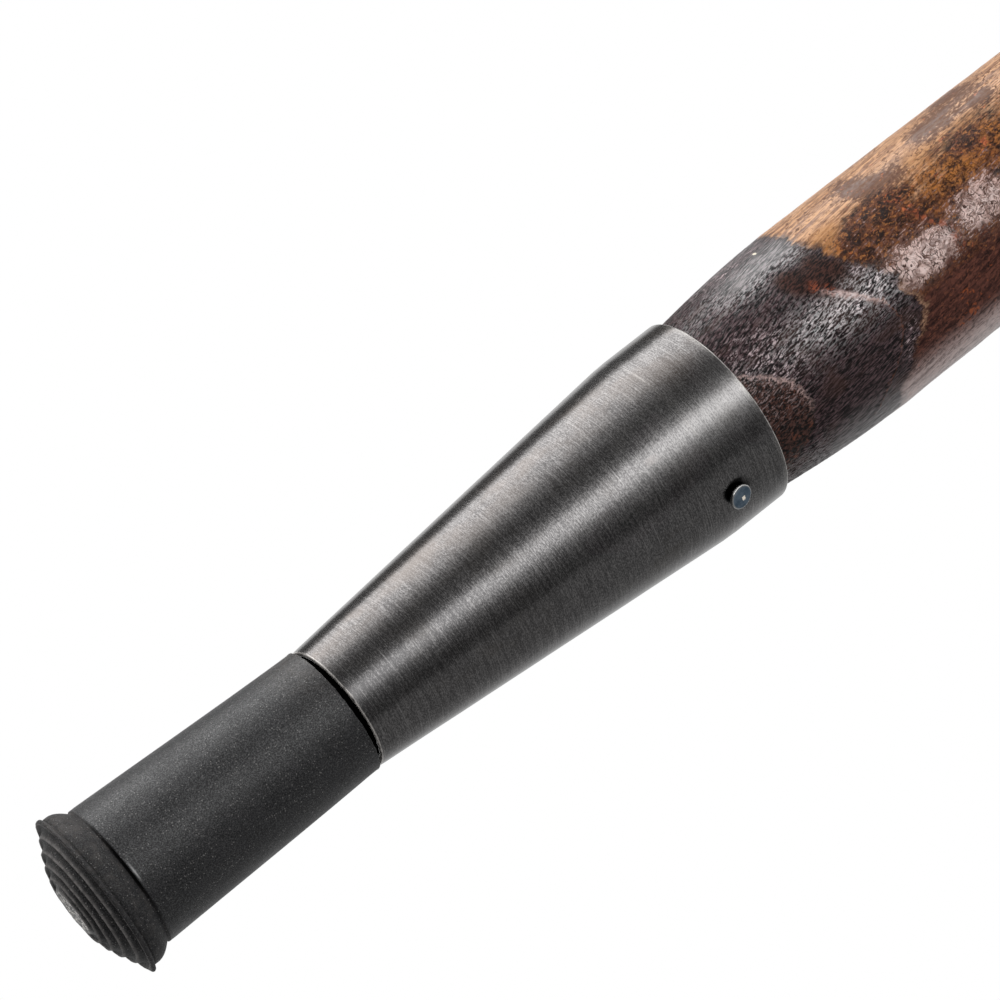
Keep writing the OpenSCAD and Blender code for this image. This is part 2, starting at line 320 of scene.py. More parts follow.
def cap_profile():
    """Outline of the cap from the middle of its tread round to the floor of its socket."""
    steps = TREAD_RINGS * 14
    outline = [(0.15, 0.06), (DISC_R * 0.35, 0.05), (DISC_R * 0.7, 0.03), (DISC_R * 0.94, 0.0)]
    outline += [tread_point(i / steps) for i in range(steps - 3)]
    bead = (RIM_R + FLASH - BEAD_R, TREAD_H + 0.05)
    outline += round_points(bead, BEAD_R, -115, 75, 14)
    outline += [(RIM_R - 0.2, bead[1] + BEAD_R + 0.1), (RIM_R - 0.12, bead[1] + BEAD_R + 0.22)]
    outline += [(RIM_R, bead[1] + BEAD_R + 0.34)]
    shoulder_z = TREAD_H + RIM_H - SHOULDER_H
    shoulder_steps = 16
    for i in range(shoulder_steps + 1):
        roll = math.cos(math.pi / 2 * i / shoulder_steps)
        z = shoulder_z + SHOULDER_H * i / shoulder_steps
        outline.append((BODY_R - SLIT_DEEP + (RIM_R - BODY_R + SLIT_DEEP) * roll, z))
    body_z = TREAD_H + RIM_H + SLIT_WIDE
    outline += [(BODY_R - SLIT_DEEP, body_z), (BODY_R - 0.06, body_z + 0.05), (BODY_R, body_z + 0.16)]
    outline += [(BODY_R, body_z + rise) for rise in (0.3, 0.4, 0.5, 0.6, 0.75)]
    body_rings = 40
    for i in range(1, body_rings):
        share = i / body_rings
        body_r = BODY_R + (LIP_R - BODY_R) * share
        outline.append((body_r, body_z + 0.75 + (CAP_H - body_z - 1.35) * share))
    outline += [(LIP_R + 0.01, CAP_H - 0.35), (LIP_R + 0.05, CAP_H - 0.12), (LIP_R - 0.04, CAP_H - 0.02)]
    outline += [(LIP_R - 0.35, CAP_H - 0.12), (LIP_R - 0.9, CAP_H - 0.16)]
    outline += [(SOCKET_R + SOCKET_LEAD, CAP_H - 0.16), (SOCKET_R, CAP_H - 2 * SOCKET_LEAD)]
    outline += [(SOCKET_R, INSERT_Z1 + FIT_GAP), (INSERT_R + FIT_GAP, INSERT_Z1 + FIT_GAP)]
    outline += [(INSERT_R + FIT_GAP, INSERT_Z0 - FIT_GAP), (0.15, INSERT_Z0 - FIT_GAP)]
    return np.array(outline)


def build_cap():
    """Moulded rubber cap that sits askew, with ringed tread, flash at rim and lip, and an open socket."""
    profile = cap_profile()
    turns, radii, heights = spin(profile, CAP_TURNS)
    outside = (np.arange(len(profile)) < len(profile) - SOCKET_POINTS)[:, None]
    share = np.clip((radii - DISC_R) / (RIM_R - DISC_R), 0, 1)
    valley = np.abs(np.sin(math.pi * share * TREAD_RINGS))
    foot = ring_grid(np.full_like(turns, RIM_R), np.zeros_like(turns), turns)
    ragged = grain(foot, 0.9, 3, 4.0)
    slow = grain(foot, 0.12, 2, 9.0)
    on_flash = ease((radii - RIM_R + 0.1) / 0.25) * (heights < TREAD_H + 0.7)
    on_tread = outside * ease((TREAD_H + 0.3 - heights) / 0.4) * (1 - on_flash)
    on_rim = ease((radii - BODY_R) / 0.6) * (heights < TREAD_H + RIM_H + 0.2)
    on_lip = ease((heights - CAP_H + 0.6) / 0.5) * (radii > SOCKET_R + SOCKET_LEAD / 2)
    below_rim = outside * ease((TREAD_H + RIM_H + 0.4 - heights) / 0.5)
    # Painted shade: the lip's inner face, and the open front of the slit, are painted near black
    deep = on_lip * (radii < LIP_R - 0.2)
    ahead = np.maximum(0, np.cos(turns - FACE))
    low_end = outside * ease((22 - heights) / 12)
    leaning = outside * ease((CAP_H - 2 - heights) / (CAP_H - 2))
    facing = turn_from(turns, FACE)
    slit_z = TREAD_H + RIM_H + SLIT_WIDE / 2
    in_slit = outside * (np.abs(heights - slit_z) < SLIT_WIDE) * (radii < BODY_R - 0.1)
    # Painted highlight: a pale line on the body a little above the slit
    painted_glint = outside * bell((heights - slit_z - GLINT_RISE) / GLINT_WIDE)
    closed = 1 - lopsided(facing, 0, 38, 34)
    tab = TAB_REACH * bell((facing - TAB_TURN) / TAB_SPREAD)
    uneven = FLASH_WAVE * ragged + FLASH_WAVE * slow + tab
    radii = radii + on_flash * uneven + on_rim * RIM_WAVE * slow
    radii = radii + in_slit * closed * (BODY_R - radii)
    heights = heights + on_lip * (LIP_RISE - LIP_DROP * ahead + LIP_WAVE * ragged)
    heights = heights - low_end * math.tan(SEAT_TILT) * radii * np.cos(turns - FACE)
    points = ring_grid(radii, heights, turns)
    points[..., 0] += leaning * LEAN * math.sin(FACE)
    points[..., 1] -= leaning * LEAN * math.cos(FACE)
    points[..., 2] += on_tread * TREAD_WAVE * grain(points, (0.5, 0.5, 0.2), 2, 2.0)
    faces = capped_faces(len(profile), CAP_TURNS)
    piece = add_piece("cap_rubber", points, faces, "cap", "rubber_cap")
    on_disc = on_tread * (radii < DISC_R * 0.98)
    ringed = on_tread * (1 - on_disc)
    dust_and_sheen = 0.7 * below_rim + ease((heights - CAP_H + 9) / 8)
    set_marks(piece, {
        "wear": ringed * ease((0.55 - valley) / 0.5),
        # valley: painted shade in the tread's grooves
        "valley": ringed * ease((valley - 0.4) / 0.45),
        "disc": on_disc,
        "rim": below_rim * (radii > 5),
        "dust_and_sheen": outside * dust_and_sheen * lopsided(facing, -60, 60, 40),
        "deep": np.maximum(deep, in_slit * (1 - closed)),
        "painted_glint": painted_glint * lopsided(facing, 4, 6, 5),
    })
    return piece


# Ferrule sleeve

SLEEVE_TURNS = 320
KINK_BLEND = 1.6
KINK_DIP = 0.06
KINK_HIGHLIGHT_WIDE = 0.14
SHEET_WAVE = 0.02
NAIL_SHADOW_SHIFT = (0.5, 0.2)
SMUDGE_TURN = math.radians(-31)
SMUDGE_SPREAD = math.radians(11)
SMUDGE_Z = 112.0
SMUDGE_HALF = 3.6
SPOT_PLACE = (-0.3, 100.5)
SPOT_R = 0.75


def sleeve_profile():
    """Closed outline of the sleeve's sheet, from its lower edge up outside and down inside."""
    def outer(z):
        """Outer radius at a height, a little rounded where the cone meets the collar."""
        rise = (z - SLEEVE_Z0) / (COLLAR_Z0 - SLEEVE_Z0)
        cone = FOOT_R + (COLLAR_R - FOOT_R) * rise
        over = max(0.0, KINK_BLEND - abs(z - COLLAR_Z0)) / KINK_BLEND
        return min(cone, COLLAR_R) - KINK_DIP * over * over

    outline = [(FOOT_R - SHEET, SLEEVE_Z0 + 0.1), (FOOT_R - SHEET + 0.1, SLEEVE_Z0)]
    outline += round_points((FOOT_R - EDGE_BREAK, SLEEVE_Z0 + EDGE_BREAK), EDGE_BREAK, -90, 0, 6)
    heights = np.concatenate([
        np.linspace(SLEEVE_Z0 + 1, COLLAR_Z0 - 2, 44),
        np.linspace(COLLAR_Z0 - 1.6, COLLAR_Z0 + 1.6, 25),
        np.linspace(COLLAR_Z0 + 2.2, SLEEVE_Z1 - 1, 8),
    ])
    outline += [(outer(z), z) for z in heights]
    outline += round_points((COLLAR_R - EDGE_BREAK, SLEEVE_Z1 - EDGE_BREAK), EDGE_BREAK, 0, 90, 6)
    outline += [(COLLAR_R - SHEET + 0.1, SLEEVE_Z1), (COLLAR_R - SHEET, SLEEVE_Z1 - 0.1)]
    outline += [(COLLAR_R - SHEET, z) for z in np.linspace(SLEEVE_Z1 - 2, COLLAR_Z0, 4)]
    inner_slope = (COLLAR_R - FOOT_R) / (COLLAR_Z0 - SLEEVE_Z0)
    for z in np.linspace(COLLAR_Z0 - 4, SLEEVE_Z0 + 3, 10):
        outline.append((FOOT_R - SHEET + inner_slope * (z - SLEEVE_Z0), z))
    return np.array(outline)


def build_sleeve():
    """Tapered sleeve of steel sheet with soft edges and the two nail holes."""
    profile = sleeve_profile()
    turns, radii, heights = spin(profile, SLEEVE_TURNS)
    points = ring_grid(radii, heights, turns)
    points = ring_grid(radii + SHEET_WAVE * grain(points, 0.12, 2, 5.0), heights, turns)
    faces = loop_faces(len(profile), SLEEVE_TURNS, closed=True)
    piece = add_piece("ferrule_shell", points, faces, "staff", "ferrule_sleeve")
    cut_away(piece, [rod(4 * COLLAR_R, NAIL_R + FIT_GAP, (0, 0, NAIL_Z), (1, 0, 0), 48)])
    x, y, z = points_of(piece).T
    facing = turn_from(np.arctan2(y, x), FACE)
    outer_face = ease((np.hypot(x, y) - COLLAR_R + SHEET) / 0.3)
    upper_edge = ease((z - SLEEVE_Z1 + 0.3) / 0.2) * outer_face
    # Painted highlight: a thin pale line where the cone meets the collar, on the left and front
    kink_highlight_share = 0.4 * lopsided(facing, -46, 14, 10) + 0.25 * lopsided(facing, -25, 50, 50)
    climb = 2 * (z - SLEEVE_Z0) / (SLEEVE_Z1 - SLEEVE_Z0) - 1
    aside = turn_from(facing, SMUDGE_TURN) / SMUDGE_SPREAD
    above = (z - SMUDGE_Z) / SMUDGE_HALF
    from_spot = np.hypot(COLLAR_R * facing - SPOT_PLACE[0], z - SPOT_PLACE[1])
    # Painted shadow: near black on the collar under the front nail's head, a little to one side
    from_nail = np.hypot(y + NAIL_SHADOW_SHIFT[0], z - NAIL_Z - NAIL_SHADOW_SHIFT[1])
    set_marks(piece, {
        # edge: worn edges, painted pale as highlight lines
        "edge": np.maximum(ease((SLEEVE_Z0 + 0.26 - z) / 0.2), upper_edge),
        "kink_highlight": kink_highlight_share * bell((z - COLLAR_Z0) / KINK_HIGHLIGHT_WIDE),
        # lit: painted light and shade, lighter toward the collar and darker toward the foot, on the front
        "lit": climb * lopsided(facing, 4, 26, 14),
        # Tarnish on the lit left side, where it also paints a warm tint into the highlight
        "tarnish_and_warm_sheen": lopsided(facing, -60, 50, 24),
        "smudge": 0.75 * np.exp(-aside * aside - above * above),
        "spot": ease((SPOT_R - from_spot) / 0.3),
        "nail_shadow": (x > 0) * ease((NAIL_HEAD_R + 0.45 - from_nail) / 0.5),
    })
    return piece


# Nails

NAIL_TURNS = 120
FACE_RINGS = 14
NAIL_EDGE = 0.22
DISH = 0.05
DENT_OUT = 0.06
DENT_DEEP = 0.05
HEAD_TILT = math.radians(5)
# Painted highlight: a small pale patch on each head's face, off its middle
HEAD_HIGHLIGHT_PLACE = (0.34, 0.22)
HEAD_HIGHLIGHT_HALF = (0.34, 0.27)


def build_nails():
    """Two hand-driven nails: a slightly dished and tilted head on a pointed shank."""
    profile = [(0.02, -NAIL_L), (NAIL_R * 0.55, -NAIL_L + 1.3), (NAIL_R, -NAIL_L + 2.4)]
    profile += [(NAIL_R, -1.0), (NAIL_R, -0.06), (NAIL_R + 0.1, 0.0)]
    profile += [(NAIL_HEAD_R * 0.86, 0.02), (NAIL_HEAD_R * 0.97, 0.1)]
    face_r = NAIL_HEAD_R - NAIL_EDGE
    profile += round_points((face_r, NAIL_HEAD_T - NAIL_EDGE), NAIL_EDGE, 0, 90, 6)
    for i in range(FACE_RINGS):
        inward = (i + 1) / FACE_RINGS
        dish = DISH * math.sin(math.pi * min(1.0, 1.6 * inward))
        profile.append((face_r * (1 - inward) + 0.03, NAIL_HEAD_T - dish))
    points = []
    faces = []
    rings = []
    head_highlights = []
    for side in (0.0, math.pi):
        turns, radii, heights = spin(np.array(profile), NAIL_TURNS)
        on_head = ease((heights + 0.05) / 0.1)
        dents = grain(ring_grid(radii, heights, turns), 0.9, 2, 3.0 + side)
        tilt = math.tan(HEAD_TILT) * np.sin(turns - 0.5)
        radii = radii + on_head * ease(radii / NAIL_HEAD_R - 0.5) * DENT_OUT * dents
        heights = heights + on_head * (DENT_DEEP * dents - tilt * radii)
        local = ring_grid(radii, heights, turns)
        aside = np.abs(local[..., :2] - HEAD_HIGHLIGHT_PLACE) / HEAD_HIGHLIGHT_HALF
        on_face = ease((heights - NAIL_HEAD_T + 0.3) / 0.1)
        # Painted highlight: a pale ring round each head's rim
        rings.append(on_head * ease((radii - NAIL_HEAD_R + 0.3) / 0.2))
        head_highlights.append(ease((1.15 - aside.max(axis=-1)) / 0.3) * on_face)
        out = COLLAR_R + NAIL_STAND + local[..., 2]
        placed = np.stack([out, local[..., 0], NAIL_Z + local[..., 1]], axis=-1)
        placed[..., :2] *= math.cos(side)
        faces += capped_faces(len(profile), NAIL_TURNS, len(points))
        points.extend(placed.reshape(-1, 3))
    piece = add_piece("ferrule_nail_pair", points, faces, "staff", "ferrule_nails")
    set_marks(piece, {"ring": np.stack(rings), "fleck": np.stack(head_highlights)})
    return piece


# Wooden stick

STICK_TURNS = 384
SPIRAL = 0.0135
SPIRAL_REACH = 90.0
RASP_BASE = 20.4
TONGUE_RISE = 8.0
BACK_RISE = 5.0
BACK_TURN = math.radians(165)
LINE_BASE = 14.0
LINE_RISE = 10.7
PATCH_RISE = 7.6
PATCH_DROP = 0.3
PATCH_FROM = -11.0
PATCH_TO = 66.0
PATCH_RAMP = 35.0
BARE_TURN = math.radians(-84)
RUDDY_TURN = math.radians(62)
FAR_FROM = 64.0
FAR_BLEND = 40.0
FINE_STEP = 0.25
FINE_H = 30.0
MIDDLE_STEP = 0.35
MIDDLE_H = 76.0

# Relief, from the solid's surface
RASP_LEVEL = 0.03
RASP_DEEP = 0.09
BARK_LEVEL = 0.08
BARK_WAVE = 0.08
BARK_CRUMB = 0.03
SHINE_CRUMB = 0.09
LUMP_RISE = 0.4
LUMP_CRUMB = 0.07
RIDGE_RISE = 0.14
DITCH_DEEP = 0.16

# Humps of the rasped zone: middle, left width and right width in degrees
TONGUE = (20, 42, 27)
BACK = (0, 27, 42)
LINE = (18, 34, 37)

# Blotches and lumps near the ferrule: direction in degrees from the camera, height
# above the sleeve, then the half width in degrees and the half height of each
LUMP_SPOTS = (
    (1, 30.5, 10, 5), (7, 33, 7, 5), (0, 36.3, 6, 2), (-1, 45, 12, 4.5), (3, 55, 12, 5),
)
# Painted shade: spots in the rasped zone painted near black as hollows, with less lacquer there
SHADED_HOLLOW_SPOTS = (
    (-33, 15.5, 9, 1.8), (-24, 17, 8, 1.8), (-15, 18.8, 6, 1.5), (-29, 20, 11, 1.6),
    (-20, 22, 7, 1.4),
)
# Painted highlights: spots where more rasp chips are painted pale
CHIP_HIGHLIGHT_SPOTS = (
    (38, 24.3, 9, 1.3), (28, 26.3, 7, 1.0), (-4, 20, 14, 8), (-76, 13, 9, 7), (-9, 26, 8, 3),
)
MARK_SPOTS = {
    "speck": (
        (-66, 16.8, 1.8, 0.26),
    ),
    "embers": (
        (-53, 33, 4, 1.0), (-51, 38, 4, 1.0), (-34, 35.5, 6, 1.0), (-22, 36.5, 4, 1.2),
        (-12, 37.5, 5, 0.8), (8, 38.6, 5, 0.7), (-42, 48, 4, 1.2), (-25, 43, 3, 0.8),
        (-24, 52, 6, 1.2), (-20, 17.5, 5, 1.0), (-13, 19, 5, 0.9), (33, 36, 8, 2.0),
        (45, 35, 5, 2.0),
    ),
    "shade": (
        (-37, 33, 6, 5), (-27, 30, 10, 4.5), (-16, 35, 7, 3.5), (-22, 27, 8, 2), (-31, 50, 10, 4),
    ),
    "dusk": (
        (-58, 34, 15, 2.6), (-47, 37, 8, 3.5), (-60, 50, 12, 4.5), (-74, 57, 12, 4),
        (-52, 58, 8, 2.5),
    ),
    "glow": (
        (-33, 23.5, 9, 1.8), (-31, 42, 13, 4.5), (-20, 46, 10, 4), (-28, 54, 10, 4),
        (-26, 31, 4, 1.5),
    ),
    "gold": (
        (-45, 43.5, 12, 3.5), (-33, 23.5, 8, 2), (-42, 25, 7, 3), (-42, 52, 9, 5),
    ),
}


def blotch(facing, height, turn_deg, middle, half_deg, half_height):
    """Soft spot of height 1 on the stick."""
    aside = (np.degrees(facing) - turn_deg) / half_deg
    up = (height - middle) / half_height
    return np.exp(-aside * aside - up * up)


def spots_on(facing, height, spots):
    """Sum of soft spots on the stick."""
    return sum(blotch(facing, height, *spot) for spot in spots)


def unwound(turn, z):
    """Direction on the stick after the spiral of its fibre is unwound."""
    return turn + SPIRAL * SPIRAL_REACH * (1 - np.exp(-np.maximum(0, z - SLEEVE_Z1) / SPIRAL_REACH))


def ring_line(turn):
    """Height above the sleeve of the ridge line in the rasped zone, by direction from the camera."""
    return LINE_BASE + LINE_RISE * lopsided(turn, *LINE)


def between(turn, low_deg, high_deg, blend_deg):
    """Smooth share of the directions between two limits."""
    turn_deg = np.degrees(turn)
    return ease((turn_deg - low_deg) / blend_deg + 0.5) * ease((high_deg - turn_deg) / blend_deg + 0.5)


def rasp_edge(turn):
    """Height above the sleeve at which the rasped zone ends, by direction from the camera."""
    tongue = TONGUE_RISE * lopsided(turn, *TONGUE)
    back = BACK_RISE * lopsided(turn_from(turn, BACK_TURN), *BACK)
    return RASP_BASE + tongue + back


def stick_climb(z):
    """Share of the way from the sleeve to the top of the stick."""
    return np.clip((z - SLEEVE_Z1) / (STICK_TOP - SLEEVE_Z1), 0, 1)


def stick_centre(z):
    """Centre of the wandering stick at each height."""
    t = stick_climb(z)
    reach = WANDER * ease(2 * t)
    return [reach * SWEEP_SHARE[k] * np.sin(SWEEP_TURN[k] * t + SWEEP_START[k]) for k in (0, 1)]


def knot_nearness(z, turn):
    """Nearness of the trimmed branch knots, from 0 to 1."""
    nearness = np.zeros(np.broadcast(z, turn).shape)
    count = int((CROWN_Z0 - TAPER_Z1) / KNOT_PITCH)
    for i in range(count):
        up = (z - TAPER_Z1 - (i + KNOT_FIRST) * KNOT_PITCH) / KNOT_REACH
        aside = turn_from(turn, i * KNOT_TURN) / KNOT_SPREAD
        nearness = nearness + np.exp(-up * up - aside * aside)
    return nearness


def stick_radius(z):
    """Radius of the stick before its knots and its relief."""
    start = NECK_R - STICK_INSET
    taper = start + (STICK_R - start) * np.sin(math.pi / 2 * np.clip((z - SLEEVE_Z1) / TAPER_H, 0, 1))
    above = np.clip((z - TAPER_Z1) / (CROWN_Z0 - TAPER_Z1), 0, 1)
    return taper + (STICK_TOP_R - STICK_R) * above


def build_shaft():
    """Natural stick: rasped and charred above the ferrule, lacquered bark and wood above that."""
    fine = np.concatenate([
        np.arange(SLEEVE_Z1, SLEEVE_Z1 + FINE_H, FINE_STEP),
        np.arange(SLEEVE_Z1 + FINE_H, SLEEVE_Z1 + MIDDLE_H, MIDDLE_STEP),
    ])
    coarse = np.linspace(fine[-1] + 2, CROWN_Z0, 250)
    crown = np.linspace(0, CROWN_STOP, 16)[1:]
    crown_heights = CROWN_Z0 + CROWN_H * np.sin(crown) / math.sin(CROWN_STOP)
    heights = np.concatenate([fine, coarse, crown_heights])
    shares = np.concatenate([np.ones(len(fine) + len(coarse)), np.cos(crown)])
    turns, share, z = spin(np.stack([shares, heights], axis=1), STICK_TURNS)
    height = z - SLEEVE_Z1
    facing = turn_from(turns, FACE)
    around = ring_grid(np.full_like(z, STICK_R), z, unwound(turns, z))
    near = z < fine[-1] + 1

    def near_grain(scale, octaves, seed):
        """Noise on the part of the stick with fine rings, and nought above it."""
        values = np.zeros_like(z)
        values[near] = grain(around[near], scale, octaves, seed)
        return values

    wild = ease(height / (2 * TAPER_H))
    oval = OVALITY * np.cos(2 * turns + OVAL_TURN * stick_climb(z))
    swell = oval + KNOT_RISE * knot_nearness(z, turns)
    radii = stick_radius(np.minimum(z, CROWN_Z0)) + wild * swell
    bark = ease((height - rasp_edge(facing)) / 2.5 + 0.4)
    shine = lopsided(facing, 4, 22, 16)
    relief = (1 - bark) * (RASP_LEVEL - RASP_DEEP * np.abs(near_grain((2.4, 2.4, 0.5), 2, 12.0)))
    waves = BARK_WAVE * grain(around, (0.22, 0.22, 0.11), 3, 7.0)
    crumbs = (BARK_CRUMB + SHINE_CRUMB * shine) * near_grain((0.5, 0.5, 0.3), 3, 31.0)
    relief = relief + bark * (BARK_LEVEL + waves + crumbs)
    lump = bark * np.minimum(1, spots_on(facing, height, LUMP_SPOTS))
    relief = relief + lump * LUMP_RISE
    relief = relief + lump * LUMP_CRUMB * near_grain((1.1, 1.1, 1.3), 2, 51.0)
    ridge = bell((height - ring_line(facing)) / 0.5) * between(facing, -15, 66, 12)
    ditch = bell((height - rasp_edge(facing) + 0.4) / 0.6) * between(facing, 4, 50, 12)
    relief = relief + RIDGE_RISE * ridge - DITCH_DEEP * ditch
    relief = relief * ease((height + 2) / 4)
    body = ring_grid(share * (radii + relief), z, turns)
    body[..., :2] += np.stack(stick_centre(z), axis=-1)
    tenon_slope = (COLLAR_R - FOOT_R) / (COLLAR_Z0 - SLEEVE_Z0)
    tenon_r = FOOT_R + tenon_slope * (STICK_FOOT - SLEEVE_Z0) - SHEET - FIT_GAP
    tenon_profile = [(tenon_r, STICK_FOOT), (NECK_R, COLLAR_Z0), (NECK_R, SLEEVE_Z1 - 3)]
    tenon_profile += [(NECK_R - STICK_INSET, SLEEVE_Z1 - 2)]
    turns, tenon_radii, tenon_heights = spin(np.array(tenon_profile), STICK_TURNS)
    points = np.concatenate([ring_grid(tenon_radii, tenon_heights, turns), body])
    faces = capped_faces(len(points), STICK_TURNS)
    piece = add_piece("stick", points, faces, "staff", "shaft")
    front = low_mm("strap_eyelet_front")[1]
    back = high_mm("strap_eyelet_back")[1]
    strap_y = (front + back) / 2
    seat = (back - front) / 2 - EYELET_T
    cutters = [rod(80, STRAP_BARREL_R, (STRAP_X, strap_y, STRAP_Z), (0, 1, 0))]
    for shift in (-seat - 5, seat + 5):
        cutters.append(rod(10, STRAP_FLANGE_R, (STRAP_X, strap_y + shift, STRAP_Z), (0, 1, 0)))
    cut_away(piece, cutters)
    mark_stick(piece)
    return piece


def mark_stick(piece):
    """Marks where each kind of wood lies, for the material."""
    x, y, z = points_of(piece).T
    centre = stick_centre(z)
    turn = np.arctan2(y - centre[1], x - centre[0])
    straight = ring_grid(np.hypot(y - centre[1], x - centre[0]), z, unwound(turn, z))
    fibre_place = piece.data.attributes.new("fibre_place", "FLOAT_VECTOR", "POINT")
    fibre_place.data.foreach_set("vector", (straight * MM).astype(np.float32).ravel())
    facing = turn_from(turn, FACE)
    facing_deg = np.degrees(facing)
    height = z - SLEEVE_Z1
    edge = rasp_edge(facing)
    on_bark = ease((height - edge) / 3 + 0.5)
    inward = np.minimum(facing_deg - PATCH_FROM, PATCH_TO - facing_deg) / PATCH_RAMP
    patch_top = PATCH_RISE * np.sin(math.pi / 2 * np.clip(inward, 0, 1)) - PATCH_DROP

    # Kinds of wood: placed as in the photograph near the ferrule, in random patches far above it
    far = ease((height - FAR_FROM) / FAR_BLEND)
    patches = [grain(straight, (0.05, 0.05, 0.011), 3, seed) for seed in (21.0, 77.0, 140.0)]
    bare = lopsided(turn_from(facing, BARE_TURN), 0, 54, 50)
    bare = bare * (1 - 0.14 * ease((height - 38) / 14))
    bare = bare + 0.25 * blotch(facing, height, -41, 25, 7, 3)
    bare = bare + far * (np.clip(0.3 + patches[0], 0, 1) - bare)
    ruddy = lopsided(turn_from(facing, RUDDY_TURN), 0, 44, 60)
    ruddy = ruddy + far * (np.clip(0.12 + 0.9 * patches[1], 0, 1) - ruddy)
    lump = np.minimum(1, 1.15 * spots_on(facing, height, LUMP_SPOTS))
    higher = ease((height - 56) / 10) * (1 - far) * lopsided(facing, 1.146, 15, 13)
    higher = higher + far * np.clip(2.2 * patches[2] - 0.5, 0, 1)
    # Painted shade in the hollows of the rasped zone
    valley = np.minimum(1, spots_on(facing, height, SHADED_HOLLOW_SPOTS))

    # Lacquer: a bright strip, both edges of the stick, and less of it low on the rasped zone
    left_edge = 0.8 * ease((-30 - facing_deg) / 22) * (1 - on_bark)
    left_edge = left_edge * (0.6 + 0.4 * ease((height - 2) / 8))
    left_edge = left_edge + ease((-42 - facing_deg) / 18) * on_bark * 0.27
    # The right edge gets lacquer, and a pale pink colour painted as its sheen
    right_edge_sheen = ease((facing_deg - 42) / 24) * ease((120 - facing_deg) / 40)
    strip = lopsided(facing, -6, 14, 17) * (1 - on_bark)
    strip = strip * (0.4 + 0.6 * ease((height - 9) / 7))
    strip = strip + np.maximum(0.42 * lump, 0.5 * higher) * on_bark
    worn = on_bark + (1 - on_bark) * (0.45 + 0.55 * ease((height - 3) / 11))
    base_coat = 0.22 - 0.08 * on_bark
    coat = worn * (base_coat + (1 - base_coat) * np.maximum(strip, np.maximum(left_edge, right_edge_sheen)))
    coat = coat + far * (0.32 + 0.2 * patches[2] - coat)

    seam_rise = 36.3 + 2.3 * ease((facing_deg + 20) / 20)
    # Painted highlights: rasp chips painted pale round the front, most near the sleeve
    chips = lopsided(facing, -4, 24, 24) * (0.25 + 0.75 * ease((15 - height) / 11))
    calm = np.maximum(ease((-40 - facing_deg) / 14), ease((facing_deg - 14) / 14))
    set_marks(piece, {name: spots_on(facing, height, spots) for name, spots in MARK_SPOTS.items()})
    set_marks(piece, {
        "above_rasp": height - edge,
        "border": between(facing, 6, 36, 12),
        "ring_line": height - ring_line(facing),
        "line_shown": between(facing, -15, 66, 10),
        # line_thick: where the ridge line is wide and pale pink, its pale partly a painted highlight
        "line_thick": ease((16 - facing_deg) / 16),
        "red_patch": patch_top - height,
        "patch_lip": ease((40 - facing_deg) / 26),
        "bare": bare,
        "ruddy": ruddy,
        "lump": np.maximum(lump, 0.6 * higher),
        # valley: painted shade in the hollows of the rasped zone
        "valley": valley,
        "coat": coat * (1 - 0.85 * valley),
        "strip": strip,
        "right_edge_sheen": right_edge_sheen * (1 - far),
        "seam": bell((height - seam_rise) / 0.6) * between(facing, -20, 11, 8),
        "chips": np.maximum(chips, spots_on(facing, height, CHIP_HIGHLIGHT_SPOTS)),
        "calm": calm * ease((height - 5) / 6) * (1 - far),
        "knot": knot_nearness(z, turn),
        "end_grain": ease((z - CROWN_Z0 - 0.55 * CROWN_H) / (0.4 * CROWN_H)),
    })


# Materials

